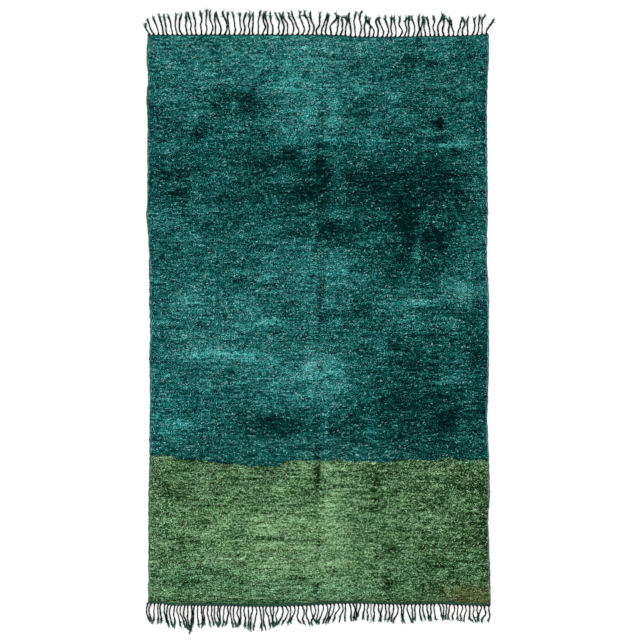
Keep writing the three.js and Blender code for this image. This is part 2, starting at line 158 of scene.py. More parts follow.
# The line between the two dyes
def dyeAt(x):
    return readTable(dyeLine, 1, x)


# The pile field's lower and upper border, which run along the bands
def fieldBottom(x):
    return bottomEdge(x) + rugPlan["bottomBand"] + rugPlan["gap"]


def fieldTop(x):
    return topEdge(x) - rugPlan["topBand"] - rugPlan["gap"]


# A point of the pile field by its shares of the way across and along, which run between the edges
def fieldPoint(across, along):
    inset = rugPlan["selvedge"] + rugPlan["gap"]
    y = (along - 0.5) * rugPlan["length"]
    left = leftEdge(y) + inset
    x = left + (rightEdge(y) - inset - left) * across
    return x, fieldBottom(x) + (fieldTop(x) - fieldBottom(x)) * along


# Which of the CAD source's scattered numbers is meant, and the side of the lattice behind each cloud
jitterUse = {"root": 2, "reach": 3, "lean": 4, "sway": 5}
latticeSide = 512


# The CAD source's repeatable number from -1 to 1: twice the fraction of a large sine, less one
def jitter(number, use):
    spread = np.sin(number * 127.1 + jitterUse[use] * 311.7) * 43758.5453
    return 2 * (spread - np.floor(spread)) - 1


# A smooth random field from -1 to 1: random values on a lattice, eased between neighbours. A lump is
# about cellX by cellY, and the seed picks the pattern.
def cloud(x, y, cellX, cellY, seed):
    lattice = np.random.default_rng(seed).uniform(-1, 1, (latticeSide, latticeSide))
    u = x / cellX
    v = y / cellY
    column = np.floor(u).astype(int)
    row = np.floor(v).astype(int)
    a = eased(u - column)
    b = eased(v - row)
    left = column % latticeSide
    right = (column + 1) % latticeSide
    lower = row % latticeSide
    upper = (row + 1) % latticeSide
    below = lattice[lower, left] * (1 - a) + lattice[lower, right] * a
    above = lattice[upper, left] * (1 - a) + lattice[upper, right] * a
    return below * (1 - b) + above * b


# Clouds added up, one for each row of a table: amount, lump along X, lump along Y, seed
def clouds(rows, x, y):
    return sum(amount * cloud(x, y, cellX, cellY, seed) for amount, cellX, cellY, seed in rows)


# Soft-edged ellipses added up: amount · exp(-(dx/across)² - (dy/along)²) for each row of a table
def patches(rows, x, y):
    total = np.zeros_like(x)
    for middleX, middleY, across, along, amount in rows:
        total += amount * np.exp(-((x - middleX) / across) ** 2 - ((y - middleY) / along) ** 2)
    return total


# A part of a mesh is a dictionary: points, face corners, corners to a face, where each corner lies on
# the two UV maps, and marks, which the materials read as attributes. The map "lock" runs in millimetres
# round and along a strand, for fibres. "OFBake" is a square of equal cells with room for every face.
# The end caps, which never show, lie small in a corner of theirs.
bakeMargin = 0.06  # share of a cell left free along its sides
capSize = 0.45  # a cap's radius in shares of that margin
lockShift = (7.3, 3.1)  # mm by which the fibres' pattern moves from one strand to the next
lockRepeat = 97  # mm of it along a strand before it starts again


# Many tubes at once: corner = path + aside · section's first number + upward · its second.
# path, aside and upward are (tubes, rings, 3), section is (tubes, rings, sides, 2) anticlockwise seen
# from ahead. A pointed tube ends in one corner at its tip.
def tubes(path, aside, upward, section, tip=None, cutEvery=None, **marks):
    count, rings = path.shape[:2]
    sides = section.shape[2]
    flat = path[:, :, None] + aside[:, :, None] * section[..., :1] + upward[:, :, None] * section[..., 1:]
    points = flat.reshape(count, rings * sides, 3)
    pointed = tip is not None
    if pointed:
        points = np.concatenate([points, tip[:, None]], 1)
    perTube = points.shape[1]

    ring = np.arange(rings - 1)[:, None]
    side = np.arange(sides)[None]
    here = ring * sides + side
    after = ring * sides + (side + 1) % sides
    quads = np.stack([here, after, after + sides, here + sides], -1).reshape(-1, 4)
    cut = cutEvery or rings
    cutsPerTube = math.ceil((rings - 1 + pointed) / cut)
    low = (ring % cut + 0 * side) / cut
    high = low + 1 / cut
    left = (side + 0 * ring) / sides
    right = left + 1 / sides
    quadPlace = np.stack([
        np.stack([left, right, right, left], -1),
        np.stack([low, low, high, high], -1),
    ], -1).reshape(-1, 4, 2)
    quadCell = np.repeat((ring // cut + 0 * side).reshape(-1), 4)
    quadAlong = np.stack([ring, ring, ring + 1, ring + 1], -1) + 0 * side[..., None]
    quadAcross = np.stack([side, side + 1, side + 1, side], -1) + 0 * ring[..., None]

    turn = np.arange(sides) * 2 * np.pi / sides
    capPlace = np.stack([0.5 + capSize * np.cos(turn), 0.5 + capSize * np.sin(turn)], -1) * bakeMargin
    groups = [(quads, quadPlace, quadCell, quadAcross.reshape(-1, 4), quadAlong.reshape(-1, 4))]
    startCap = np.arange(sides)[None, ::-1]
    groups.append((startCap, capPlace[None, ::-1], np.zeros(sides, int), startCap, 0 * startCap))
    if pointed:
        last = (rings - 1) * sides
        way = np.arange(sides)
        tips = np.stack([last + way, last + (way + 1) % sides, np.full(sides, rings * sides)], -1)
        base = ((rings - 1) % cut) / cut
        tipPlace = np.stack([
            np.stack([way, way + 1, way + 0.5], -1) / sides,
            np.stack([0 * way + base, 0 * way + base, 0 * way + base + 1 / cut], -1),
        ], -1)
        tipCell = np.full(sides * 3, (rings - 1) // cut)
        tipAcross = np.stack([way, way + 1, way + 0.5], -1)
        tipAlong = np.stack([0 * way + rings - 1, 0 * way + rings - 1, 0 * way + rings], -1)
        groups.append((tips, tipPlace, tipCell, tipAcross, tipAlong))
    else:
        endCap = (rings - 1) * sides + np.arange(sides)[None]
        endCell = np.full(sides, cutsPerTube - 1)
        endPlace = capPlace[None] + [1 - bakeMargin, 0]
        groups.append((endCap, endPlace, endCell, endCap * 0 + side, 0 * endCap + rings - 1))

    # Millimetres along each tube, and round its widest ring
    line = path if not pointed else np.concatenate([path, tip[:, None]], 1)
    steps = np.linalg.norm(np.diff(line, axis=1), axis=2)
    gone = np.concatenate([np.zeros((count, 1)), np.cumsum(steps, 1)], 1)
    around = np.linalg.norm(section[:, rings // 2], axis=-1).mean(-1) * 2 * np.pi / sides

    tube = np.arange(count)[:, None]
    corners = []
    totals = []
    places = []
    cells = []
    locks = []
    for faces, place, cell, across, along in groups:
        corners.append((faces.reshape(1, -1) + tube * perTube).reshape(-1))
        totals.append(np.full(len(faces) * count, faces.shape[1]))
        places.append(np.broadcast_to(place.reshape(1, -1, 2), (count, place.size // 2, 2)).reshape(-1, 2))
        cells.append((cell[None] + tube * cutsPerTube).reshape(-1))
        lockU = across.reshape(1, -1) * around[:, None] + tube * lockShift[0]
        lockV = gone[:, along.reshape(-1).astype(int)] + tube * lockShift[1] % lockRepeat
        locks.append(np.stack([lockU, lockV], -1).reshape(-1, 2))
    marked = {}
    for name, value in marks.items():
        value = np.asarray(value, float)
        if value.ndim == 1:
            value = np.broadcast_to(value[:, None], (count, rings + pointed))
        perCorner = np.repeat(value[:, :rings], sides, 1)
        if pointed:
            perCorner = np.concatenate([perCorner, value[:, rings:]], 1)
        marked[name] = perCorner.reshape(-1)
    return {
        "points": points.reshape(-1, 3),
        "corners": np.concatenate(corners),
        "totals": np.concatenate(totals),
        "places": np.concatenate(places),
        "cells": np.concatenate(cells),
        "locks": np.concatenate(locks),
        "cellCount": count * cutsPerTube,
        "marks": marked,
    }


# A closed slab between an upper and a lower grid of points, (rows, columns, 3) each
def slab(upper, lower, **marks):
    rows, columns = upper.shape[:2]
    number = np.arange(rows * columns).reshape(rows, columns)
    face = np.stack([number[:-1, :-1], number[:-1, 1:], number[1:, 1:], number[1:, :-1]], -1).reshape(-1, 4)
    outer = np.concatenate([number[0, :-1], number[:-1, -1], number[-1, :0:-1], number[:0:-1, 0]])
    following = np.roll(outer, -1)
    under = rows * columns
    rim = np.stack([outer + under, following + under, following, outer], -1)
    faces = np.concatenate([face, face[:, ::-1] + under, rim])
    points = np.concatenate([upper.reshape(-1, 3), lower.reshape(-1, 3)])
    square = np.array([(0, 0), (1, 0), (1, 1), (0, 1)], float)
    return {
        "points": points,
        "corners": faces.reshape(-1),
        "totals": np.full(len(faces), 4),
        "places": np.tile(square, (len(faces), 1)),
        "cells": np.repeat(np.arange(len(faces)), 4),
        "locks": points[faces.reshape(-1), :2],
        "cellCount": len(faces),
        "marks": {name: np.tile(np.asarray(v, float).reshape(-1), 2) for name, v in marks.items()},
    }


# Writes parts into one mesh object, in metres in the frame, with both UV maps and the marks
def putPiece(name, parts, material):
    mesh = bpy.data.meshes.new(name)
    starts = np.cumsum([0] + [len(p["points"]) for p in parts])
    cellStarts = np.cumsum([0] + [p["cellCount"] for p in parts])
    points = (np.concatenate([p["points"] for p in parts]) + rugMiddle) / 1000
    corners = np.concatenate([p["corners"] + s for p, s in zip(parts, starts)])
    totals = np.concatenate([p["totals"] for p in parts])
    mesh.vertices.add(len(points))
    mesh.vertices.foreach_set("co", points.astype(np.float32).reshape(-1))
    mesh.loops.add(len(corners))
    mesh.loops.foreach_set("vertex_index", corners.astype(np.int32))
    mesh.polygons.add(len(totals))
    loopStart = np.concatenate([[0], np.cumsum(totals)[:-1]])
    mesh.polygons.foreach_set("loop_start", loopStart.astype(np.int32))
    mesh.polygons.foreach_set("use_smooth", np.ones(len(totals), bool))
    mesh.update(calc_edges=True)

    cells = np.concatenate([p["cells"] + s for p, s in zip(parts, cellStarts)])
    across = math.ceil(math.sqrt(cellStarts[-1]))
    inner = bakeMargin + (1 - 2 * bakeMargin) * np.concatenate([p["places"] for p in parts])
    bake = (np.stack([cells % across, cells // across], -1) + inner) / across
    lock = np.concatenate([p["locks"] for p in parts])
    for layer, value in (("lock", lock), ("OFBake", bake)):
        mesh.uv_layers.new(name=layer).uv.foreach_set("vector", value.astype(np.float32).reshape(-1))
    for mark in parts[0]["marks"]:
        value = np.concatenate([p["marks"][mark] for p in parts])
        mesh.attributes.new(mark, "FLOAT", "POINT").data.foreach_set("value", value.astype(np.float32))
    mesh.validate()
    mesh.materials.append(material)
    print(name, "made,", int((totals - 2).sum()), "triangles")
    return addObject(name, mesh)


# Vectors brought to a length of 1
def unit(v):
    return v / np.maximum(np.linalg.norm(v, axis=-1, keepdims=True), 1e-9)


lightestSurface = 0.95  # share of any colour that wool or paint can send back


# A colour as seen on a display under a share of the light, as the linear one of the surface. One that
# comes out too light is lowered in all three channels alike, so that it keeps its hue.
def display(red, green, blue, shade=1.0):
    channel = np.array([red, green, blue]) / 255
    linear = np.where(channel <= 0.04045, channel / 12.92, ((channel + 0.055) / 1.055) ** 2.4) / shade
    linear = linear * min(1.0, lightestSurface / max(linear.max(), 0.001))
    return (*[float(c) for c in linear], 1.0)


# Gives an input a socket to read, or a plain value
def feed(tree, socket, value):
    if isinstance(value, bpy.types.NodeSocket):
        tree.links.new(value, socket)
    else:
        socket.default_value = value


# A Math node fed by sockets or plain numbers; the result is its output socket
def maths(tree, operation, *values):
    node = tree.nodes.new("ShaderNodeMath")
    node.operation = operation
    for socket, value in zip(node.inputs, values):
        feed(tree, socket, value)
    return node.outputs[0]


# A value kept between 0 and 1
def keptInUnit(tree, value):
    return maths(tree, "MINIMUM", maths(tree, "MAXIMUM", value, 0), 1)


# Flat noise with so many lumps to each unit of the place along X and Y
def stretchedNoise(tree, place, scaleX, scaleY, detail):
    stretch = tree.nodes.new("ShaderNodeVectorMath")
    stretch.operation = "MULTIPLY"
    stretch.inputs[1].default_value = (scaleX, scaleY, 0)
    tree.links.new(place, stretch.inputs[0])
    noise = tree.nodes.new("ShaderNodeTexNoise")
    noise.noise_dimensions = "2D"
    noise.inputs["Scale"].default_value = 1
    noise.inputs["Detail"].default_value = detail
    tree.links.new(stretch.outputs[0], noise.inputs["Vector"])
    return noise.outputs


# The normal of a height, with its depth in metres, over a normal that is there already
def relief(tree, height, depth, normal=None):
    bump = tree.nodes.new("ShaderNodeBump")
    feed(tree, bump.inputs["Distance"], depth)
    tree.links.new(height, bump.inputs["Height"])
    if normal is not None:
        tree.links.new(normal, bump.inputs["Normal"])
    return bump.outputs[0]


# A value carried evenly from one range to another and kept within it
def carried(tree, value, fromRange, toRange):
    node = tree.nodes.new("ShaderNodeMapRange")
    node.inputs["From Min"].default_value, node.inputs["From Max"].default_value = fromRange
    node.inputs["To Min"].default_value, node.inputs["To Max"].default_value = toRange
    tree.links.new(value, node.inputs[0])
    return node.outputs[0]


def attributeOf(tree, name):
    node = tree.nodes.new("ShaderNodeAttribute")
    node.attribute_name = name
    return node.outputs["Fac"]


def objectPlace(tree):
    return tree.nodes.new("ShaderNodeTexCoord").outputs["Object"]


# A node group of floats, but for the inputs without a number and the outputs named Normal: vectors
def newGroup(name, inputs, outputs):
    tree = bpy.data.node_groups.new(name, "ShaderNodeTree")
    for label, value in inputs.items():
        kind = "NodeSocketVector" if value is None else "NodeSocketFloat"
        socket = tree.interface.new_socket(label, in_out="INPUT", socket_type=kind)
        if value is not None:
            socket.default_value = value
    for label in outputs:
        kind = "NodeSocketVector" if label == "Normal" else "NodeSocketFloat"
        tree.interface.new_socket(label, in_out="OUTPUT", socket_type=kind)
    entry = tree.nodes.new("NodeGroupInput")
    leave = tree.nodes.new("NodeGroupOutput")
    return tree, entry.outputs, leave.inputs


# A node group in a tree, its inputs fed by sockets or plain values; the result is its outputs
def placeGroup(tree, group, inputs):
    node = tree.nodes.new("ShaderNodeGroup")
    node.node_tree = group
    for name, value in inputs.items():
        feed(tree, node.inputs[name], value)
    return node.outputs


# Spun wool's streaks: how many to a millimetre across a lock and along it, and their share
fibreStreaks = [(1.9, 0.13, 0.62), (5.2, 0.5, 0.38)]


# Spun wool: fine streaks along the lock, added by their shares, as a shift of the tone and as relief
def makeFibreGroup():
    tree, given, result = newGroup(
        "spunWool", {"Lock": None, "Tone": 0.5, "Spread": 0.3, "Relief": 0.0006}, ["Tone", "Normal"],
    )
    sizes = []
    for across, along, share in fibreStreaks:
        streak = stretchedNoise(tree, given["Lock"], across, along, 2)["Fac"]
        sizes.append(maths(tree, "MULTIPLY", streak, share))
    both = maths(tree, "ADD", *sizes)
    shift = maths(tree, "MULTIPLY", maths(tree, "SUBTRACT", both, 0.5), given["Spread"])
    tree.links.new(maths(tree, "ADD", given["Tone"], shift), result["Tone"])
    tree.links.new(relief(tree, both, given["Relief"]), result["Normal"])
    return tree


# Combed wool, with lumps given by their length and width in mm
combPlan = {
    "push": 0.012,  # metres by which the pattern is warped
    "pushLump": (17, 13),
    "strandLump": (11, 4.6),
    "strandThinness": 16,
    "strandMean": 0.2,
    "breakLump": (30, 11),  # breaks the strands up
    "breakFrom": 0.44,
    "breakEdge": 7,
    "grainLump": (4.6, 4.0),
    "streakLump": (52, 7),
    "rowLump": (170, 14),
    # specks: painted highlights of single tufts that catch the light
    "speckLump": (9.0, 4.6),
    "speckFrom": 0.76,  # the higher, the fewer specks
    "speckEdge": 9,
}


# Combed wool: thin light strands along X, 1 - thinness · |noise - 0.5| of a warped noise, broken by a
# wider one, over a fine grain, streaks, rows and specks, each by its amount. Tone is the shift of tone
# around nought, Height the same as a relief, so that what stands up is painted lighter and what lies low
# painted darker, as light and shade fall, besides the wool's own uneven tone; the specks are painted
# highlights.
def makeStrandGroup(plan):
    amounts = {"Strands": 0.5, "Grain": 0.5, "Streak": 0.5, "Rows": 0.5, "Specks": 0.5}
    tree, given, result = newGroup("combedStrands", {"Place": None, **amounts}, ["Tone", "Height"])

    def noiseAt(place, lump, detail=1.0):
        return stretchedNoise(tree, place, 1000 / lump[0], 1000 / lump[1], detail)

    def above(place, lump, level, detail=1.0):
        return maths(tree, "SUBTRACT", noiseAt(place, lump, detail)["Fac"], level)

    push = tree.nodes.new("ShaderNodeVectorMath")
    push.operation = "MULTIPLY_ADD"
    push.inputs[1].default_value = (plan["push"], plan["push"], 0)
    tree.links.new(noiseAt(given["Place"], plan["pushLump"])["Color"], push.inputs[0])
    tree.links.new(given["Place"], push.inputs[2])
    warped = push.outputs[0]
    ridge = maths(tree, "ABSOLUTE", above(warped, plan["strandLump"], 0.5))
    ridge = maths(tree, "SUBTRACT", 1, maths(tree, "MULTIPLY", ridge, plan["strandThinness"]))
    ridge = maths(tree, "MAXIMUM", ridge, 0)
    where = maths(tree, "MULTIPLY", above(warped, plan["breakLump"], plan["breakFrom"]), plan["breakEdge"])
    strands = maths(tree, "MULTIPLY", ridge, keptInUnit(tree, where))
    specks = above(given["Place"], plan["speckLump"], plan["speckFrom"], 0)
    layers = {
        "Strands": maths(tree, "SUBTRACT", strands, plan["strandMean"]),
        "Grain": above(warped, plan["grainLump"], 0.5),
        "Streak": above(warped, plan["streakLump"], 0.5),
        "Rows": above(warped, plan["rowLump"], 0.5),
        "Specks": keptInUnit(tree, maths(tree, "MULTIPLY", specks, plan["speckEdge"])),
    }
    parts = [maths(tree, "MULTIPLY", layer, given[name]) for name, layer in layers.items()]
    total = parts[0]
    for part in parts[1:]:
        total = maths(tree, "ADD", total, part)
    tree.links.new(total, result["Tone"])
    tree.links.new(total, result["Height"])
    return tree


weaveCrest = 0.3  # how much a weft's height changes as it passes over and under the warps


# Interlaced threads: wefts of one pitch pass over and under warps of another, as a height from 0 to 1:
# (crest · cos of the warps' phase + 1 - crest) · |sin of the wefts' phase|
def makeWeaveGroup():
    tree, given, result = newGroup(
        "wovenThreads", {"Place": None, "Warp Pitch": 0.006, "Weft Pitch": 0.0022}, ["Height"],
    )
    split = tree.nodes.new("ShaderNodeSeparateXYZ")
    tree.links.new(given["Place"], split.inputs[0])
    warp = maths(tree, "DIVIDE", split.outputs["X"], given["Warp Pitch"])
    weft = maths(tree, "DIVIDE", split.outputs["Y"], given["Weft Pitch"])
    phase = maths(tree, "MULTIPLY", maths(tree, "ADD", warp, maths(tree, "FLOOR", weft)), math.pi)
    over = maths(tree, "MULTIPLY", maths(tree, "COSINE", phase), weaveCrest)
    over = maths(tree, "ADD", over, 1 - weaveCrest)
    thread = maths(tree, "ABSOLUTE", maths(tree, "SINE", maths(tree, "MULTIPLY", weft, math.pi)))
    tree.links.new(maths(tree, "MULTIPLY", over, thread), result["Height"])
    return tree


fibreGroup = makeFibreGroup()
strandGroup = makeStrandGroup(combPlan)
weaveGroup = makeWeaveGroup()

# Each wool by the colours it shows in the studio's light from its darkest to its palest tone, and shade,
# the share of the light that its own shadows leave. second holds the colours of a patch of other wool.
# Pile wool has paleTones, paler and greyer, for fibres that stand out from their ground, partly a painted
# sheen on fibres that catch the light, strands, the amounts of each layer of the combed wool, strandRelief,
# its depth in metres, and, on the green, coolTint for its cooler places. spread is how far single fibres
# differ in tone, rootShade the share of its light that a root keeps under the painted shade at the roots,
# relief the fibres' depth in metres, and rough the roughness of the palest and of the darkest tone.
woolFinishes = {
    "pile_teal": {
        "tones": [
            (0.0, (0, 22, 24)), (0.2, (0, 56, 54)), (0.36, (8, 84, 81)), (0.53, (20, 115, 111)),
            (0.7, (38, 145, 141)), (0.86, (64, 176, 172)), (1.0, (88, 193, 189)),
        ],
        "paleTones": [
            (0.0, (3, 24, 25)), (0.2, (10, 58, 55)), (0.36, (26, 86, 83)), (0.53, (52, 117, 113)),
            (0.7, (82, 147, 143)), (0.86, (117, 178, 174)), (1.0, (150, 193, 189)),
        ],
        "second": [(0.0, (60, 100, 100)), (1.0, (80, 120, 120))],
        "shade": 0.54, "strandRelief": 0.0003,
        "strands": {"Strands": 0.6, "Grain": 1.5, "Streak": 0.4, "Rows": 0.4, "Specks": 0.46},
        "spread": 0.25, "rootShade": 0.15, "relief": 0.0002, "rough": (0.7, 0.95),
    },
    "pile_green": {
        "tones": [
            (0.0, (11, 36, 9)), (0.2, (45, 84, 43)), (0.36, (77, 119, 73)), (0.6, (130, 170, 124)),
            (0.8, (156, 193, 150)), (1.0, (162, 193, 157)),
        ],
        "paleTones": [
            (0.0, (13, 38, 15)), (0.2, (44, 83, 48)), (0.36, (77, 119, 79)), (0.6, (131, 170, 128)),
            (0.8, (157, 193, 154)), (1.0, (163, 193, 159)),
        ],
        "second": [
            (0.0, (46, 54, 24)), (0.36, (91, 101, 62)), (0.7, (127, 139, 96)), (1.0, (146, 160, 114)),
        ],
        "coolTint": (0.86, 1.0, 1.08, 1),
        "shade": 0.56, "strandRelief": 0.0003,
        "strands": {"Strands": 0.8, "Grain": 2.1, "Streak": 0.5, "Rows": 0.65, "Specks": 0.8},
        "spread": 0.25, "rootShade": 0.15, "relief": 0.0002, "rough": (0.7, 0.95),
    },
    "edge_teal": {
        "tones": [(0.0, (10, 44, 42)), (0.5, (34, 82, 78)), (1.0, (84, 138, 130))],
        "second": [(0.0, (34, 48, 38)), (0.5, (66, 82, 66)), (1.0, (110, 128, 104))],
        "shade": 0.7,
        "spread": 0.7, "rootShade": 1.0, "relief": 0.0004, "rough": (0.7, 0.92),
    },
    "band_green": {
        "tones": [(0.0, (20, 46, 38)), (0.5, (46, 78, 62)), (1.0, (84, 120, 98))],
        "second": [(0.0, (60, 70, 40)), (1.0, (100, 112, 66))],
        "shade": 0.8,
        "spread": 0.5, "rootShade": 0.0, "relief": 0.0003, "rough": (0.75, 0.95),
    },
    "warp_yarn": {
        "tones": [(0.0, (4, 16, 15)), (0.4, (18, 38, 34)), (0.7, (40, 76, 68)), (1.0, (84, 130, 118))],
        "second": [(0.0, (150, 158, 150)), (1.0, (222, 228, 222))],
        "shade": 1.0,
        "spread": 0.6, "rootShade": 1.0, "relief": 0.0004, "rough": (0.7, 0.92),
    },
}


def rampOf(tree, value, stops, shade=1.0):
    node = tree.nodes.new("ShaderNodeValToRGB")
    elements = node.color_ramp.elements
    for place, colour in stops[1:-1]:
        elements.new(place)
    for element, (place, colour) in zip(elements, stops):
        element.position = place
        element.color = display(*colour, shade)
    tree.links.new(value, node.inputs[0])
    return node.outputs[0]


def mixColours(tree, share, first, second, blend="MIX"):
    node = tree.nodes.new("ShaderNodeMix")
    node.data_type = "RGBA"
    node.blend_type = blend
    tree.links.new(share, node.inputs["Factor"])
    feed(tree, node.inputs[6], first)
    feed(tree, node.inputs[7], second)
    return node.outputs[2]


# How tones and marks become a wool's look
woolPlan = {
    # specks are painted highlights, stronger where the ground is light
    "speckGain": 2.6,  # specks are as strong as the ground is light, times this
    "paleGain": 1.05,  # how soon a fibre lighter than its ground turns to the pale tones
    "paleShare": 0.3,  # share of the pale tones in the ground itself
    # a weave paints shade where its threads lie low and light where they stand up
    "weaveLevel": 0.6,  # height of a weave that leaves the tone as it is
    "weaveTone": 0.5,
    "rootEnd": 0.7,  # share of its length at which a lock has left its root's shade
    "gloss": 0.01,
}


def newMaterial(name):
    material = bpy.data.materials.new(name)
    material.use_nodes = True
    return material, material.node_tree, material.node_tree.nodes["Principled BSDF"].inputs


# Wool from its marks: tone picks the colour, reach paints shade on the roots, patch turns it to a second
# dye
def makeWool(name, finish, weave=None):
    plan = woolPlan
    material, tree, shader = newMaterial(name)
    lock = tree.nodes.new("ShaderNodeUVMap")
    lock.uv_map = "lock"
    fibres = placeGroup(tree, fibreGroup, {
        "Lock": lock.outputs[0], "Tone": attributeOf(tree, "tone"),
        "Spread": finish["spread"], "Relief": finish["relief"],
    })
    tone = fibres["Tone"]
    normal = fibres["Normal"]
    if "strands" in finish:
        # Painted highlights: specks, as strong as the ground is light
        speckGain = plan["speckGain"] * finish["strands"]["Specks"]
        specks = maths(tree, "MULTIPLY", attributeOf(tree, "ground"), speckGain)
        combed = placeGroup(tree, strandGroup, {
            **finish["strands"], "Specks": specks, "Place": objectPlace(tree),
        })
        tone = maths(tree, "ADD", tone, combed["Tone"])
        normal = relief(tree, combed["Height"], finish["strandRelief"], normal)
    if weave:
        threads = placeGroup(tree, weaveGroup, {
            "Warp Pitch": weave["warpPitch"], "Weft Pitch": weave["weftPitch"], "Place": objectPlace(tree),
        })
        # Painted shade between the threads: the tone falls where the weave lies low and rises where it
        # stands up
        raised = maths(tree, "SUBTRACT", threads["Height"], plan["weaveLevel"])
        tone = maths(tree, "ADD", tone, maths(tree, "MULTIPLY", raised, plan["weaveTone"]))
        normal = relief(tree, threads["Height"], weave["depth"], normal)
    colour = rampOf(tree, tone, finish["tones"], finish["shade"])
    if "paleTones" in finish:
        # Fibres lighter than their ground turn paler and greyer, partly a painted sheen where they catch
        # light
        above = maths(tree, "SUBTRACT", tone, attributeOf(tree, "ground"))
        greyer = maths(tree, "ADD", maths(tree, "MULTIPLY", above, plan["paleGain"]), plan["paleShare"])
        pale = rampOf(tree, tone, finish["paleTones"], finish["shade"])
        colour = mixColours(tree, keptInUnit(tree, greyer), colour, pale)
    if "coolTint" in finish:
        colour = mixColours(tree, attributeOf(tree, "cool"), colour, finish["coolTint"], "MULTIPLY")
    second = rampOf(tree, tone, finish["second"], finish["shade"])
    colour = mixColours(tree, attributeOf(tree, "patch"), colour, second)
    # Painted shade at the roots: the colour is mixed towards black where a lock's reach is short
    dark = carried(tree, attributeOf(tree, "reach"), (0, plan["rootEnd"]), (1 - finish["rootShade"], 0))
    colour = mixColours(tree, dark, colour, (0, 0, 0, 1))
    paleRough, darkRough = finish["rough"]
    rough = carried(tree, tone, (0, 1), (darkRough, paleRough))
    feed(tree, shader["Base Color"], colour)
    feed(tree, shader["Roughness"], rough)
    feed(tree, shader["Normal"], normal)
    feed(tree, shader["Specular IOR Level"], plan["gloss"])
    return material


# The end bands' weave, in metres
bandWeave = {"warpPitch": 0.005, "weftPitch": 0.0024, "depth": 0.0009}

tealPile = makeWool("teal_pile_wool", woolFinishes["pile_teal"])
greenPile = makeWool("green_pile_wool", woolFinishes["pile_green"])
edgeWool = makeWool("overcast_edge_wool", woolFinishes["edge_teal"])
topBandWool = makeWool("teal_band_wool", woolFinishes["edge_teal"], bandWeave)
bottomBandWool = makeWool("green_band_wool", woolFinishes["band_green"], bandWeave)
warpWool = makeWool("twisted_warp_wool", woolFinishes["warp_yarn"])
print("materials made")

# The ground weave, which carries the knots and shows on the back
groundPlan = {
    "thickness": 2.4,
    "columns": 40,
    "rowsGreen": 17,
    "rowsTeal": 50,
    "knotOffset": 8.0,  # roots of the lowest teal row lie this far above the line where its tips end
    "dyeEdge": 0.2,  # half the width of the border between the dyes
    "tone": 0.4,
    "toneDrift": [(0.1, 300, 20, 11)],
}

# The back, with pitches and depth in metres and colours from dark to light
backPlan = {
    "warpPitch": 0.0035,
    "weftPitch": 0.0023,
    "knotPitch": 0.0164,
    "knotEdge": (0.62, 0.8),  # heights between which a row of knots turns to weft
    "knotHeight": 0.6,
    "weftHeight": 0.5,
    "depth": 0.0012,
    "grain": 90,
    "teal": [(0.1, (6, 38, 38)), (0.5, (24, 76, 74)), (1.0, (70, 130, 126))],
    "green": [(0.1, (24, 46, 30)), (0.5, (70, 104, 70)), (1.0, (128, 164, 122))],
    "weft": [(0.1, (8, 30, 30)), (0.6, (22, 58, 56)), (1.0, (52, 96, 92))],
    "rough": 0.98,
    "gloss": 0.25,
    "sheen": 0.15,
}


# A thin slab on a grid in two stretches, which meet at the border between the dyes
def makeGround(plan):
    across = np.linspace(0, 1, plan["columns"])[None]
    x, low = fieldPoint(across, np.zeros((1, 1)))
    x, high = fieldPoint(across, np.ones((1, 1)))
    line = dyeAt(x) + plan["knotOffset"]
    half = plan["dyeEdge"]
    shares = [np.linspace(0, 1, plan[name])[:, None] for name in ("rowsGreen", "rowsTeal")]
    y = np.concatenate([
        low + (line - half - low) * shares[0],
        line + half + (high - line - half) * shares[1],
    ])
    along = (y - low) / (high - low)
    x = fieldPoint(np.broadcast_to(across, y.shape), along)[0]
    green = np.repeat([1.0, 0.0], [plan["rowsGreen"], plan["rowsTeal"]])[:, None] + 0 * y
    upper = np.stack([x, y, 0 * y + plan["thickness"]], -1)
    lower = np.stack([x, y, 0 * y], -1)
    return slab(upper, lower, tone=plan["tone"] + clouds(plan["toneDrift"], x, y), green=green)


# The back: rows of knots in the pile's dyes, with a few shots of weft beaten in between them
def makeBackMaterial(plan):
    material, tree, shader = newMaterial("ground_back")
    place = objectPlace(tree)
    wefts, knots = [
        placeGroup(tree, weaveGroup, {"Warp Pitch": plan["warpPitch"], "Weft Pitch": pitch, "Place": place})
        for pitch in (plan["weftPitch"], plan["knotPitch"])
    ]
    row = carried(tree, knots["Height"], plan["knotEdge"], (0, 1))
    height = maths(
        tree, "ADD", maths(tree, "MULTIPLY", row, plan["knotHeight"]),
        maths(tree, "MULTIPLY", wefts["Height"], plan["weftHeight"]),
    )
    noise = tree.nodes.new("ShaderNodeTexNoise")
    noise.inputs["Scale"].default_value = plan["grain"]
    noise.inputs["Detail"].default_value = 3
    tree.links.new(place, noise.inputs["Vector"])
    grain = noise.outputs["Fac"]
    # Painted shade in the hollows of the back: the tone rises with the height of knots and wefts, over a
    # grain
    tone = maths(tree, "ADD", maths(tree, "MULTIPLY", grain, 0.5), maths(tree, "MULTIPLY", height, 0.4))
    teal, green, weft = [rampOf(tree, tone, plan[name]) for name in ("teal", "green", "weft")]
    knot = mixColours(tree, attributeOf(tree, "green"), teal, green)
    feed(tree, shader["Base Color"], mixColours(tree, row, weft, knot))
    feed(tree, shader["Normal"], relief(tree, height, plan["depth"]))
    rough = maths(tree, "SUBTRACT", plan["rough"], maths(tree, "MULTIPLY", grain, 0.2))
    feed(tree, shader["Roughness"], rough)
    feed(tree, shader["Specular IOR Level"], plan["gloss"])
    feed(tree, shader["Sheen Weight"], plan["sheen"])
    return material


ground = putPiece("ground_weave", [makeGround(groundPlan)], makeBackMaterial(backPlan))

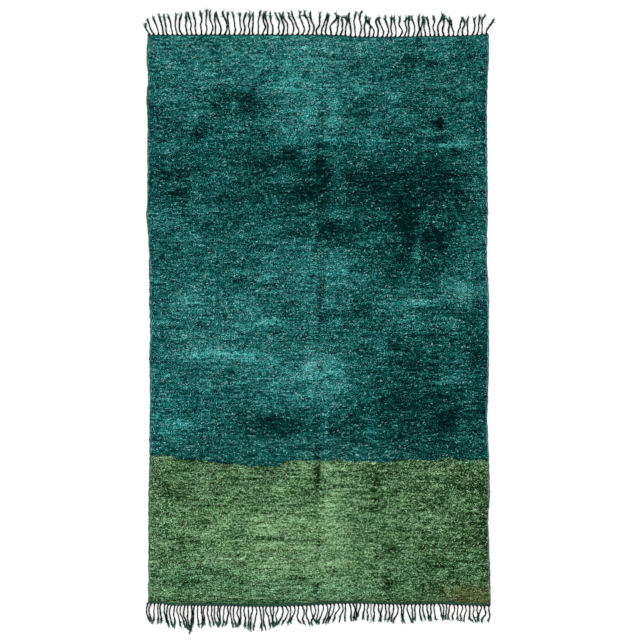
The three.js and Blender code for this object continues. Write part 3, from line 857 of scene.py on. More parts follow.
# The knotted pile: a dense mass of wool with locks over it that lean towards the green end
pilePlan = {
    "rows": 150,
    "across": 122,  # locks in a row
    "lowInset": 9.0,  # roots keep this far from the bottom edge of the field, for the tips lean out
    "highInset": 2.0,
    "sideInset": 2.0,
    "rowShift": 0.7,  # share of the spacing by which whole rows are shifted
    "scatter": 0.5,  # share of the spacing by which a clump strays from its row
    "stray": (0.35, 0.15),  # the same for a lock, across and along
    "clumpChance": 0.6,  # chance that a new clump starts at a lock
    "gather": 0.2,  # how much a clump's tips draw together
    "lean": 17.0,  # how far a tip hangs from its root
    "leanSpread": 2.5,
    "leanLeast": 8.0,
    "turnShare": 0.5,  # how far locks follow turnPatches
    "turnSpread": 0.5,  # radians by which clumps turn from the way of the nap
    "turnStray": 0.15,  # the same for a lock
    "curl": 2.2,  # mm by which a lock bows sideways
    "waves": 1.0,  # half turns of that bow
    "root": 6.0,  # height of a lock's root
    "rise": 16.2,  # height of a lock's bend
    "riseSpread": 0.7,
    "riseStray": 0.4,
    "droop": 3.0,  # how far a tip hangs below the bend
    "droopRange": (0.6, 1.4),
    "width": 12.5,
    "thick": 5.4,
    "roll": 0.3,  # radians
    "toneClump": 0.04,
    "toneLock": 0.05,
    "seed": 5,
    "cuts": (20.0, 760.0),  # y at which the teal pile is cut into three pieces
}

# Crimped wisps that lie over the locks and catch the light, mostly along the rows
wispPlan = {
    "count": 33000,
    "acrossRange": (0.004, 0.996),
    "alongRange": (0.004, 0.997),
    "length": 14.0,
    "lengthSpread": 4.0,
    "lengthLeast": 9.0,
    "nap": 3.5,  # mm by which their ends hang towards the green end
    "turn": 0.1,  # radians that they rise to +X on the whole
    "turnSpread": 0.6,
    "curl": 2.3,
    "waves": 1.3,
    "clear": 2.0,  # mm that their starts keep from the rim
    "clearBelow": 4.0,
    "rise": 18.0,
    "riseSpread": 0.8,
    "drops": (5.0, 2.5),  # mm by which start and end lie below the middle
    "width": 3.3,
    "thick": 2.6,
    "roll": 0.3,
    "toneLift": 0.03,
    "toneSpread": 0.245,
    "toneSkew": 0.36,
    "toneStreaks": [(0.17, 27, 9, 75), (0.136, 80, 11, 76)],
    "paleChance": 0.05,
    "paleTone": 0.45,
    "greenContrast": 1.5,
    "tealContrast": (0.8, 0.5),  # on the darkest wool, and how much more where it is pale
    "seed": 6,
}

# The mass under the locks
massPlan = {
    "columns": 64,
    "rowStep": 30.0,
    "bottom": 1.5,
    "height": 13.0,
    "stand": 0.5,  # mm by which it stands up with the sheen
    "lumps": [(0.8, 31, 23, 61)],
    "foldDepth": 2.0,
    # share of a lock's length that the mass stands for, which gives it part of the painted root shade
    "reach": 0.55,
    "tone": -0.06,
    "tealOffset": 3.0,  # mm by which the teal mass starts above the line of the tips
}

# The tone that all wool has at a place, from the tables below, painted lighter where the pile shines and
# darker where it lies in shade. Clouds are amount, lump along X and along Y, and seed.
tonePlan = {
    "middle": 0.344,
    # strength of the patches' painted sheen and shade in the tone
    "patch": 0.295,  # how strongly the patches show
    "patchGain": 1.12,  # on the pale ones
    "patchHold": 0.3,  # how far the palest are held back
    "raggedX": [(9, 220, 10, 71), (5, 40, 14, 72)],  # mm by which the patches' borders stray
    "raggedY": [(5, 110, 40, 73)],
    "uneven": [(0.6, 60, 9, 25)],
    "drift": [(0.06, 210, 11, 22), (0.05, 75, 11, 23), (0.04, 40, 17, 24)],
    # painted shade that darkens the tone in the fold
    "fold": 0.38,
}

# How the pile stands at its rim, over its fold and with its sheen, in mm
standPlan = {
    "rimLoss": 0.42,  # share of its height that it loses at the rim
    "rimLevel": 2.0,  # from the rim, before it starts to come up
    "rimWidth": 9.0,
    "spill": (2.5, 6.0),  # by which any tip may pass the rim, and how much more some do
    "sidePush": (3.5, 8.0),  # by which tips are combed out over the sides, and over what width
    "topPush": (9.0, 7.0),
    "foldDepth": 1.8,
    "sheen": 0.6,
    "sheenRange": (-1.8, 1.5),
}

# Where the pile stands up and shines, or lies down in shade, painted into its colour as sheen and shade,
# and partly uneven dye: x, y, half width, half length, strength
tonePatches = [
    # broad
    (-350, 1420, 650, 170, 0.45), (500, 1420, 500, 120, 0.15), (-40, 1150, 170, 260, 0.5),
    (-30, 270, 260, 170, 0.3), (-520, -20, 330, 260, 0.4), (-20, -280, 260, 150, 0.55),
    (740, 150, 170, 60, 0.6), (-130, 720, 360, 190, -0.55), (480, 680, 420, 200, -0.85),
    (420, 440, 300, 160, -0.5), (-720, 760, 200, 170, -0.3), (560, -250, 340, 220, -0.45),
    (520, -520, 380, 130, -0.6), (-260, -560, 190, 60, -0.85), (860, -100, 80, 500, -0.25),
    (-130, -1190, 330, 200, 0.5), (80, -1150, 70, 330, 0.25), (650, -1000, 300, 400, -0.35),
    (-500, -850, 500, 120, -0.2), (0, -1500, 900, 25, -0.4), (0, -1430, 900, 100, -0.12),
    (430, -800, 250, 35, -0.35), (-650, -965, 200, 30, -0.25), (640, -1280, 150, 40, -0.35),
    (-650, -1360, 220, 35, -0.25), (650, -1360, 200, 40, -0.2), (0, -1450, 350, 40, 0.35),
    (-840, -480, 100, 140, 0.25), (-780, -900, 130, 90, -0.3), (30, -1000, 60, 60, 0.35),
    (880, -1130, 50, 260, -0.8), (880, 1080, 40, 200, -0.35),
    # pale, from the top down
    (-250, 1345, 45, 30, 0.7), (-155, 1230, 55, 45, 0.8), (-120, 1280, 40, 25, 0.4),
    (-110, 1430, 60, 40, 0.35), (220, 1440, 50, 35, 0.5), (60, 1460, 60, 40, 0.3), (640, 1470, 50, 40, 0.4),
    (5, 1315, 25, 25, 0.5), (-860, 1370, 70, 30, 0.3), (-470, 1270, 60, 30, 0.3), (-620, 1240, 60, 40, 0.3),
    (-760, 1175, 70, 50, 0.55), (235, 1215, 50, 40, 0.5), (390, 1185, 60, 35, 0.8),
    (420, 1240, 30, 30, 0.3), (85, 1150, 35, 90, 0.5), (-55, 1080, 35, 70, 0.5), (75, 1025, 45, 40, 0.8),
    (-230, 1040, 50, 25, 0.4), (-170, 960, 45, 40, 0.6), (60, 955, 120, 25, 0.6), (290, 945, 60, 50, 0.5),
    (700, 925, 110, 25, 0.5), (-650, 1060, 40, 40, 0.35), (-740, 890, 60, 50, 0.3),
    (460, 1030, 70, 30, 0.25), (250, 870, 250, 30, 0.3), (-200, 745, 70, 30, 0.9), (-540, 735, 60, 40, 0.4),
    (-640, 700, 50, 60, 0.35), (110, 780, 30, 70, 0.6), (110, 670, 30, 50, 0.6), (-250, 625, 80, 20, 0.4),
    (-60, 610, 30, 30, 0.5), (130, 560, 100, 30, 0.9), (330, 545, 50, 50, 0.7), (-830, 545, 80, 50, 0.55),
    (-620, 570, 60, 50, 0.45), (570, 540, 25, 50, 0.7), (650, 520, 30, 40, 0.8), (525, 350, 14, 60, 0.8),
    (-360, 510, 50, 40, 0.35), (-250, 490, 70, 40, 0.3), (-700, 460, 100, 40, 0.3), (320, 440, 70, 30, 0.7),
    (830, 440, 70, 60, 0.35), (850, 700, 50, 150, 0.4), (-85, 345, 30, 25, 0.6), (-270, 320, 40, 25, 0.3),
    (-270, 225, 45, 28, 0.7), (-35, 305, 30, 20, 0.3), (110, 270, 80, 60, 0.45), (840, 330, 40, 40, 0.4),
    (-660, 100, 80, 40, 1.2), (-350, 45, 60, 30, 0.7), (-280, -15, 90, 25, 0.9), (-420, -20, 25, 15, 0.5),
    (-670, 5, 60, 30, 0.4), (-680, -70, 40, 28, 0.8), (-600, -65, 60, 25, 0.5), (-630, -180, 90, 32, 1.2),
    (-500, -175, 110, 32, 1.0), (-370, -190, 90, 35, 0.6), (-290, -235, 60, 35, 0.6),
    (-40, -245, 40, 55, 1.1), (75, -240, 55, 45, 1.1), (-40, -365, 35, 35, 0.7), (110, -350, 90, 50, 0.5),
    (-205, -325, 50, 40, 0.5), (-665, -335, 60, 25, 0.4), (-570, -340, 20, 20, 0.4),
    (-470, -335, 30, 30, 0.3), (-60, 85, 40, 20, 0.5), (50, 90, 30, 40, 0.5), (95, -25, 25, 25, 0.8),
    (-40, -20, 30, 40, 0.3), (500, 85, 140, 24, 1.0), (800, 175, 90, 45, 0.15), (500, -10, 60, 50, 0.5),
    (700, -10, 40, 40, 0.6), (330, -150, 50, 60, 0.4), (620, -170, 60, 25, 0.4), (740, -180, 40, 40, 0.5),
    (690, -310, 90, 40, 0.6), (40, -480, 30, 60, 0.5), (270, -530, 30, 80, 0.5), (-730, -560, 110, 50, 0.5),
    (760, -560, 40, 50, 0.4), (-340, -655, 60, 30, 0.3), (310, -660, 50, 40, 0.3),
    (-235, -1075, 80, 35, 1.0), (-180, -1120, 180, 30, 0.3), (-345, -1065, 40, 25, 0.6),
    (-500, -1060, 40, 50, 0.5), (-60, -770, 50, 30, 0.7), (70, -765, 60, 35, 0.6), (60, -950, 40, 40, 0.35),
    (50, -1070, 40, 40, 0.35), (120, -1130, 60, 50, 0.2), (70, -1290, 60, 30, 0.45),
    (90, -1385, 50, 25, 0.4), (60, -1440, 60, 25, 0.4), (-300, -1130, 50, 20, 0.5),
    (-250, -1320, 60, 40, 0.5), (-520, -1270, 60, 30, 0.4), (-750, -1280, 30, 50, 0.4),
    (-580, -840, 40, 30, 0.4), (-630, -930, 40, 25, 0.5), (-500, -935, 40, 25, 0.4),
    (-200, -900, 50, 30, 0.5), (-830, -960, 25, 20, 0.5), (-860, -1385, 50, 30, 0.4),
    (430, -1050, 80, 30, 0.4), (630, -1060, 60, 30, 0.6), (560, -800, 150, 25, 0.4),
    # dark
    (640, 1028, 24, 27, -2.6), (650, 960, 40, 18, -1.0), (510, 1460, 30, 20, -0.9),
    (500, 1370, 90, 22, -0.9), (790, 1410, 60, 40, -0.5), (430, 1300, 40, 30, -0.7),
    (200, 1345, 20, 20, -0.6), (-370, 1165, 55, 32, -1.1), (-350, 1110, 80, 30, -0.8),
    (-470, 1190, 60, 40, -0.6), (-530, 1120, 35, 40, -0.8), (220, 1080, 40, 25, -0.7),
    (250, 1150, 90, 25, -0.5), (510, 1120, 40, 18, -0.7), (440, 1145, 20, 20, -0.6),
    (390, 1000, 40, 20, -0.5), (-850, 1080, 50, 60, -0.4), (-750, 1050, 40, 30, -0.5),
    (-630, 970, 30, 40, -0.9), (-290, 975, 50, 35, -0.6), (-760, 970, 60, 20, -0.4),
    (110, 970, 50, 15, -0.5), (10, 920, 60, 20, -0.7), (165, 910, 20, 40, -0.5), (15, 1070, 15, 40, -0.5),
    (-140, 880, 50, 40, -0.9), (15, 820, 45, 40, -1.1), (30, 760, 40, 40, -0.6), (-320, 800, 60, 60, -0.4),
    (-780, 770, 90, 30, -0.5), (-730, 650, 40, 40, -0.8), (-440, 640, 60, 20, -0.6),
    (-60, 680, 70, 40, -0.6), (50, 650, 40, 20, -0.5), (210, 740, 60, 30, -0.4), (600, 830, 40, 30, -0.5),
    (650, 770, 60, 50, -0.5), (735, 880, 35, 20, -0.9), (740, 670, 40, 30, -0.6), (760, 600, 50, 40, -0.5),
    (430, 640, 50, 20, -0.4), (475, 450, 35, 110, -0.8), (650, 440, 35, 90, -0.4), (90, 500, 100, 25, -0.5),
    (60, 465, 70, 45, -0.8), (160, 440, 50, 30, -0.5), (610, 430, 50, 30, -0.6), (620, 380, 60, 45, -0.7),
    (430, 330, 30, 40, -0.6), (400, 240, 60, 60, -0.6), (570, 270, 80, 55, -0.7), (-450, 530, 80, 25, -0.6),
    (-130, 455, 80, 20, -0.6), (-420, 170, 60, 40, -0.5), (-150, 70, 50, 40, -0.4), (15, 150, 18, 40, -0.8),
    (15, 40, 50, 25, -0.4), (230, 30, 40, 40, -0.6), (660, 65, 50, 14, -0.8), (-230, -70, 60, 25, -0.4),
    (-90, -105, 40, 20, -0.4), (240, -140, 30, 40, -0.6), (400, -120, 30, 40, -0.6),
    (500, -250, 30, 40, -0.4), (830, -230, 30, 60, -0.6), (-470, -270, 25, 18, -0.6),
    (330, -420, 30, 20, -0.6), (600, -390, 150, 25, -0.3), (680, -510, 45, 45, -0.9),
    (850, -490, 60, 20, -0.4), (-240, -540, 60, 25, -0.4), (-160, -590, 45, 30, -0.7),
    (80, -580, 25, 30, -0.8), (200, -530, 50, 25, -0.6), (150, -600, 60, 40, -0.4),
    (400, -625, 90, 25, -0.6), (690, -650, 60, 25, -0.5), (305, -850, 25, 40, -1.0),
    (310, -960, 30, 60, -0.8), (240, -800, 20, 20, -0.7), (390, -810, 60, 25, -0.6),
    (5, -840, 14, 60, -0.9), (-60, -950, 60, 30, -0.5), (850, -890, 80, 25, -0.9),
    (760, -860, 60, 20, -0.6), (-730, -1190, 30, 28, -0.9), (-860, -1040, 30, 20, -0.5),
    (-790, -930, 30, 20, -0.4), (-240, -1160, 130, 18, -0.5), (5, -1110, 14, 100, -0.4),
    (300, -1260, 20, 40, -0.7), (390, -1200, 40, 50, -0.7), (370, -1390, 30, 50, -1.0),
    (600, -1160, 25, 35, -0.8), (750, -1180, 50, 30, -0.7), (740, -1040, 25, 40, -0.6),
    (500, -1265, 40, 20, -0.6), (200, -1330, 40, 18, -0.6), (-120, -1365, 60, 20, -0.6),
    (-520, -1340, 60, 25, -0.5), (-690, -1390, 40, 25, -0.6), (560, -1430, 50, 25, -0.5),
    (-800, -870, 60, 50, -0.4),
]

# Painted light and shade along narrow creases and knot rows that stand out: x, y, half width, half length,
# shift of the tone
creases = [
    (640, 1028, 24, 25, -0.3),
    # lengthwise
    (85, 1100, 9, 110, 0.12), (-50, 880, 10, 180, 0.08), (-28, 455, 9, 80, 0.2), (-42, -300, 12, 300, 0.06),
    (42, -830, 8, 80, 0.12), (40, -520, 8, 50, 0.1), (55, -1000, 10, 60, 0.06), (305, -1250, 7, 65, -0.24),
    (322, -1310, 7, 90, 0.13), (362, -1375, 7, 50, -0.22), (300, -890, 8, 60, -0.12),
    (260, -600, 9, 80, 0.06), (550, 535, 9, 35, 0.15), (540, 470, 9, 35, 0.18), (530, 410, 9, 35, 0.18),
    (515, 350, 9, 35, 0.16), (507, 305, 9, 30, 0.12), (575, 460, 10, 60, -0.1), (640, 440, 10, 60, -0.1),
    (-765, -1060, 8, 60, 0.08), (715, 905, 12, 25, -0.12), (-640, 1000, 9, 45, -0.1),
    # along the rows, from the top down
    (450, 1370, 90, 7, -0.16), (-460, 1285, 90, 7, 0.08), (310, 1130, 110, 8, -0.07),
    (-240, 1045, 60, 7, 0.09), (110, 977, 60, 7, -0.22), (-40, 957, 90, 8, 0.12), (640, 985, 80, 7, 0.1),
    (625, 953, 65, 8, -0.25), (680, 920, 110, 9, 0.18), (720, 890, 60, 8, -0.1), (35, 868, 80, 7, 0.08),
    (-265, 742, 95, 8, 0.18), (-470, 640, 90, 8, -0.12), (-270, 630, 70, 7, 0.07), (80, 510, 50, 8, -0.1),
    (320, 505, 95, 8, -0.12), (-160, 440, 90, 8, -0.1), (-195, 411, 135, 8, 0.2), (-275, 393, 120, 7, -0.1),
    (65, 400, 65, 7, -0.08), (550, 130, 70, 7, -0.1), (450, 97, 90, 8, 0.14), (620, 103, 90, 8, 0.16),
    (770, 110, 70, 8, 0.1), (500, 52, 60, 9, -0.16), (600, 62, 60, 9, -0.2), (680, 74, 50, 8, -0.14),
    (-240, 0, 110, 8, 0.1), (425, -10, 55, 7, 0.08), (-670, -36, 110, 8, -0.18), (-620, -60, 80, 8, 0.1),
    (120, -165, 80, 8, -0.12), (15, -187, 45, 7, 0.08), (-565, -350, 135, 8, 0.1),
    (-275, -370, 55, 8, 0.08), (-240, -602, 180, 8, -0.12), (450, -605, 150, 8, -0.08),
    (-600, -647, 100, 8, 0.1), (-650, -735, 90, 7, -0.12), (-355, -815, 75, 8, 0.12),
    (130, -822, 100, 8, -0.24), (130, -843, 80, 8, 0.2), (-175, -890, 75, 7, 0.12),
    (540, -893, 160, 7, -0.12), (640, -880, 70, 7, -0.1), (-525, -936, 75, 7, 0.12),
    (-265, -1155, 115, 9, -0.2), (-100, -1166, 80, 8, -0.14), (-265, -1185, 85, 8, 0.12),
    (-510, -1291, 70, 8, 0.2), (780, -1247, 80, 8, 0.12),
]

# Where the wool is greyer, or with a minus purer in colour: x, y, half width, half length, amount
greyPatches = [
    (0, 1460, 900, 35, 0.3), (664, 1258, 150, 120, 0.25), (300, 1380, 300, 60, 0.1),
    (-150, 929, 700, 30, -0.35), (450, 915, 160, 35, -0.2), (-172, 1274, 140, 40, -0.15),
    (190, 1130, 120, 40, -0.12), (552, 726, 160, 90, 0.12), (774, 510, 90, 80, -0.12),
    (753, 108, 150, 45, 0.35), (-10, -221, 70, 60, 0.4), (-632, -110, 120, 50, 0.25),
    (-20, 30, 40, 150, 0.15), (400, -330, 450, 22, 0.25), (0, -665, 900, 32, 0.3),
    (-743, -474, 140, 120, -0.3), (-208, -405, 100, 50, -0.15), (200, -480, 120, 40, -0.12),
    (-830, -221, 60, 80, -0.15), (-250, -1080, 380, 120, -0.12), (0, -1450, 900, 50, 0.15),
    (870, -1050, 60, 280, 0.15),
]

# Where the green is cooler: x, y, half width, half length, amount
coolPatches = [
    (-700, -1350, 300, 70, 1.0), (-250, -1420, 300, 60, 0.6), (150, -1430, 250, 60, 0.7),
    (480, -1340, 200, 60, 0.6), (780, -1290, 120, 60, 0.6),
]

# Which way the wool is turned there: x, y, half width, half length, radians
turnPatches = [
    (-430, 1395, 330, 90, -0.75), (-130, 1230, 170, 110, -0.9), (300, 1400, 220, 90, -0.45),
    (-780, 1400, 90, 120, -0.6), (620, 1390, 150, 90, 0.5), (-800, -700, 90, 500, -0.2),
    (420, -820, 300, 300, 0.15), (-250, -1120, 300, 260, 0.15),
]

# The darker olive corner of the green pile
olivePatches = [(735, -1458, 90, 58, 0.9), (860, -1462, 80, 62, 1.0)]

# y, then where the fold runs along X, how strongly it shows and how wide it is
foldLine = [
    (-1500, 1, 0.9, 7), (-1420, 0, 1.6, 7), (-1330, 1, 0.6, 6), (-1190, 4, 1.8, 8), (-1100, 0, 1.5, 7),
    (-1010, -7, 0.5, 6), (-930, -3, 0.8, 7), (-860, -3, 1.1, 8), (-760, 1, 1.3, 8), (-690, -4, 0.8, 8),
    (-620, -9, 0.35, 9), (-400, 0, 0.1, 8), (160, 10, 0.55, 9), (330, 14, 0.3, 9), (520, 16, 0.4, 12),
    (800, 18, 0.2, 14), (1080, 19, 0.75, 8), (1220, 21, 0.6, 8), (1370, 26, 0.35, 8), (1500, 26, 0.1, 8),
]


# Room that a place has in the field, to its left, right, upper and lower rim
def roomAround(x, y):
    return {
        "left": x - (leftEdge(y) + rugPlan["selvedge"]),
        "right": rightEdge(y) - rugPlan["selvedge"] - x,
        "above": topEdge(x) - rugPlan["topBand"] - y,
        "below": y - (bottomEdge(x) + rugPlan["bottomBand"]),
    }


# Height share of the pile: 1 - loss · exp(-room beyond the level part / width)
def rimShare(room):
    nearest = np.minimum.reduce(list(room.values()))
    past = np.maximum(nearest - standPlan["rimLevel"], 0)
    return 1 - standPlan["rimLoss"] * np.exp(-past / standPlan["rimWidth"])


# How strongly the lengthwise fold shows
def foldAt(x, y):
    away = (x - readTable(foldLine, 1, y)) / readTable(foldLine, 3, y)
    return np.exp(-away ** 2) * readTable(foldLine, 2, y)


def oliveAt(x, y):
    return np.clip(patches(olivePatches, x, y), 0, 1)


# How far the wool shines, or with a minus lies dark: the patches, looked up at places shifted row by row
# so that their borders are ragged, with the palest held back
def sheenAt(x, y):
    plan = tonePlan
    sheen = patches(tonePatches, x + clouds(plan["raggedX"], x, y), y + clouds(plan["raggedY"], x, y))
    sheen = sheen * (1 + clouds(plan["uneven"], x, y))
    held = plan["patchGain"] * sheen / (1 + plan["patchHold"] * np.maximum(sheen, 0))
    return np.where(sheen > 0, held, sheen)


# The wool's tone: lighter with the painted sheen, with a random drift, the creases' painted light and
# shade, and painted shade that darkens the fold
def toneAt(x, y, sheen):
    plan = tonePlan
    tone = plan["middle"] + plan["patch"] * sheen + clouds(plan["drift"], x, y) + patches(creases, x, y)
    return tone - plan["fold"] * foldAt(x, y)


# The marks of wool at many places, given how far each lock's own tone strays
def woolMarks(x, y, own):
    tone = toneAt(x, y, sheenAt(x, y))
    return {
        "tone": tone + own,
        "ground": tone - patches(greyPatches, x, y),
        "patch": oliveAt(x, y),
        "cool": np.clip(patches(coolPatches, x, y), 0, 1),
    }


# A lock's three-cornered section in shares of its width and thickness, and how these change along it
lockCorners = np.array([(-0.5, -0.33), (0.5, -0.33), (0, 0.67)])
lockTaper = np.array([(0.6, 0.7), (1.0, 1.0), (0.9, 0.85)])
sizeRange = (0.8, 1.2)
leanPower = 1.2  # the higher, the straighter a lock stands before it leans


# Locks from roots, leans and bends: out by the lean times the share to leanPower, bowed sideways
# by curl times the sine of the plan's half turns, up over the bend and down to a point
def makeLocks(rng, plan, x, y, leanX, leanY, curl, share, heights, own):
    count = len(x)
    out = share ** leanPower
    length = np.hypot(leanX, leanY)
    flat = np.stack([-leanY / length, leanX / length], -1)
    bow = curl[:, None] * np.sin(np.pi * plan["waves"] * share)
    path = np.stack([
        x[:, None] + leanX[:, None] * out + flat[:, :1] * bow,
        y[:, None] + leanY[:, None] * out + flat[:, 1:] * bow,
        heights,
    ], -1)
    ahead = unit(np.gradient(path, axis=1)[:, :-1])
    aside = unit(np.cross(np.array([0, 0, 1.0]), ahead))
    upward = np.cross(ahead, aside)
    turn = rng.normal(0, plan["roll"], count)[:, None, None]
    turnedAside = aside * np.cos(turn) + upward * np.sin(turn)
    turnedUp = upward * np.cos(turn) - aside * np.sin(turn)
    size = lockTaper[:len(share) - 1] * [plan["width"], plan["thick"]]
    sizes = size[None] * rng.uniform(*sizeRange, (count, 1, 1))
    section = lockCorners[None, None] * sizes[:, :, None]
    marks = woolMarks(path[..., 0], path[..., 1], own[:, None])
    return path, turnedAside, turnedUp, section, np.broadcast_to(share, path.shape[:2]), marks


# The tubes of those locks that are chosen
def tubesOf(locks, chosen):
    path, aside, upward, section, reach, marks = locks
    return tubes(
        path[chosen, :-1], aside[chosen], upward[chosen], section[chosen], tip=path[chosen, -1],
        reach=reach[chosen], **{name: value[chosen] for name, value in marks.items()},
    )


# Combs tips out over the rim by push · exp(-room / width), and stops them a little past it
def keepInside(rng, leanX, leanY, room):
    least, more = standPlan["spill"]
    spill = least + more * rng.uniform(0, 1, len(leanX)) ** 1.5
    push, width = standPlan["sidePush"]
    leanX = leanX - push * np.exp(-room["left"] / width) + push * np.exp(-room["right"] / width)
    leanX = np.clip(leanX, -room["left"] - spill, room["right"] + spill)
    push, width = standPlan["topPush"]
    leanY = leanY + push * np.exp(-room["above"] / width)
    return leanX, np.clip(leanY, -room["below"] - spill, room["above"] + spill)


# Height that the sheen adds
def sheenRise(x, y):
    return standPlan["sheen"] * np.clip(sheenAt(x, y), *standPlan["sheenRange"])


# Locks stand in rows and in clumps, which stray, turn, lean and rise together and draw in at their tips
def makeCoat(plan):
    rng = np.random.default_rng(plan["seed"])
    rows, many = plan["rows"], plan["across"]
    row = np.repeat(np.arange(rows), many)
    step = np.tile(np.arange(many), rows)
    count = rows * many
    clump = np.cumsum((rng.uniform(0, 1, count) < plan["clumpChance"]) | (step == 0)) - 1

    def ofClump():
        return rng.normal(0, 1, clump[-1] + 1)[clump]

    scatter = rng.uniform(-1, 1, clump[-1] + 1)[clump] * plan["scatter"]
    strayAcross, strayAlong = plan["stray"]
    shift = 0.5 + plan["rowShift"] * (rng.uniform(0, 1, rows)[row] - 0.5)
    across = (step + shift + rng.uniform(-strayAcross, strayAcross, count)) / many
    side = plan["sideInset"] / rugPlan["width"]
    across = side + (1 - 2 * side) * np.clip(across, 0, 1)
    low = plan["lowInset"] / rugPlan["length"]
    high = plan["highInset"] / rugPlan["length"]
    along = (row + 0.5 + scatter + rng.uniform(-strayAlong, strayAlong, count)) / rows
    x, y = fieldPoint(across, low + (1 - low - high) * np.clip(along, 0, 1))
    room = roomAround(x, y)
    full = rimShare(room)

    clumpX = (np.bincount(clump, x) / np.bincount(clump))[clump]
    turn = plan["turnShare"] * patches(turnPatches, x, y) + plan["turnSpread"] * ofClump()
    turn = turn + rng.normal(0, plan["turnStray"], count)
    lean = np.maximum(plan["lean"] + plan["leanSpread"] * ofClump(), plan["leanLeast"])
    leanX = -lean * np.sin(turn) + plan["gather"] * (clumpX - x)
    leanX, leanY = keepInside(rng, leanX, -lean * np.cos(turn), room)
    rise = plan["rise"] + sheenRise(x, y) + plan["riseSpread"] * ofClump()
    rise = (rise + rng.normal(0, plan["riseStray"], count) - standPlan["foldDepth"] * foldAt(x, y)) * full
    droop = plan["droop"] * full * rng.uniform(*plan["droopRange"], count)
    heights = np.stack([0 * rise + plan["root"], rise, rise - droop], -1)
    own = plan["toneClump"] * ofClump() + plan["toneLock"] * rng.normal(0, 1, count)
    curl = plan["curl"] * rng.normal(0, 1, count)
    share = np.array([0, 0.5, 1.0])
    return x, y, makeLocks(rng, plan, x, y, leanX, leanY, curl, share, heights, own)


# Wisps lie anywhere, about half of them each way along the rows, bent up in the middle. Their own tones
# are skewed to the pale side: spread · (n + skew · (n² - 1)).
def makeWisps(plan):
    rng = np.random.default_rng(plan["seed"])
    count = plan["count"]
    across = rng.uniform(*plan["acrossRange"], count)
    along = rng.uniform(*plan["alongRange"], count)
    x, y = fieldPoint(across, along)
    turn = plan["turn"] + patches(turnPatches, x, y) + plan["turnSpread"] * rng.normal(0, 1, count)
    way = np.where(rng.uniform(0, 1, count) < 0.5, -1, 1)
    length = plan["length"] + plan["lengthSpread"] * rng.normal(0, 1, count)
    length = way * np.maximum(length, plan["lengthLeast"])
    leanX = length * np.cos(turn)
    leanY = length * np.sin(turn) - plan["nap"]
    x = x - leanX / 2
    y = y - leanY / 2
    room = roomAround(x, y)
    clear = plan["clear"]
    x = x + np.maximum(clear - room["left"], 0) - np.maximum(clear - room["right"], 0)
    y = y + np.maximum(plan["clearBelow"] - room["below"], 0) - np.maximum(clear - room["above"], 0)
    room = roomAround(x, y)
    leanX, leanY = keepInside(rng, leanX, leanY, room)
    rise = plan["rise"] + sheenRise(x, y) + plan["riseSpread"] * rng.normal(0, 1, count)
    rise = (rise - standPlan["foldDepth"] * foldAt(x, y)) * rimShare(room)
    startDrop, endDrop = plan["drops"]
    heights = np.stack([rise - startDrop, rise, rise, rise - endDrop], -1)
    pale = rng.uniform(0, 1, count) < plan["paleChance"]
    stray = rng.normal(0, 1, count)
    own = plan["toneLift"] + plan["toneSpread"] * (stray + plan["toneSkew"] * (stray ** 2 - 1))
    own = own + clouds(plan["toneStreaks"], x, y) + plan["paleTone"] * pale
    onDark, onPale = plan["tealContrast"]
    contrast = onDark + onPale * toneAt(x, y, sheenAt(x, y))
    own = own * np.where(y < dyeAt(x), plan["greenContrast"], contrast)
    curl = plan["curl"] * rng.normal(0, 1, count)
    share = np.array([0, 0.33, 0.7, 1.0])
    return x, y, makeLocks(rng, plan, x, y, leanX, leanY, curl, share, heights, own)


# The borders between the stretches of the pile at each x, from the bottom up
def stretchBorders(x):
    cuts = [0 * x + y for y in pilePlan["cuts"]]
    return [fieldBottom(x), dyeAt(x) + massPlan["tealOffset"], *cuts, fieldTop(x)]


# The mass under the locks: a lumpy slab over one stretch of the field, in its own dye
def makeMass(plan, number):
    across = np.linspace(0, 1, plan["columns"])[None]
    first, last = stretchBorders(0 * across)[number:number + 2]
    rows = max(4, int((last - first).max() / plan["rowStep"]))
    x = fieldPoint(across, np.full((1, 1), 0.5))[0]
    first, last = stretchBorders(x)[number:number + 2]
    y = first + (last - first) * np.linspace(0, 1, rows)[:, None]
    low = fieldPoint(across, np.zeros((1, 1)))[1]
    high = fieldPoint(across, np.ones((1, 1)))[1]
    x = fieldPoint(np.broadcast_to(across, y.shape), (y - low) / (high - low))[0]
    stand = plan["stand"] * np.clip(sheenAt(x, y), *standPlan["sheenRange"])
    z = (plan["height"] + stand + clouds(plan["lumps"], x, y)) * rimShare(roomAround(x, y))
    z = z - plan["foldDepth"] * foldAt(x, y)
    return slab(
        np.stack([x, y, z], -1), np.stack([x, y, 0 * z + plan["bottom"]], -1),
        reach=plan["reach"] + 0 * z, **woolMarks(x, y, plan["tone"]),
    )


# Each piece is the mass of its stretch with the locks and wisps over it. Those whose tips fall short of
# the line of the dyes are green, and the teal ones are sorted by their roots.
def makePile():
    names = ["pile_green", "pile_teal_lower", "pile_teal_middle", "pile_teal_upper"]
    pieces = {name: [makeMass(massPlan, number)] for number, name in enumerate(names)}
    for x, y, locks in (makeCoat(pilePlan), makeWisps(wispPlan)):
        tipY = locks[0][:, -1, 1]
        stretch = np.where(tipY < dyeAt(x), 0, 1 + np.searchsorted(pilePlan["cuts"], y))
        for number, name in enumerate(names):
            pieces[name].append(tubesOf(locks, stretch == number))
    return pieces


pilePieces = []
for name, parts in makePile().items():
    pilePieces.append(putPiece(name, parts, greenPile if name == "pile_green" else tealPile))

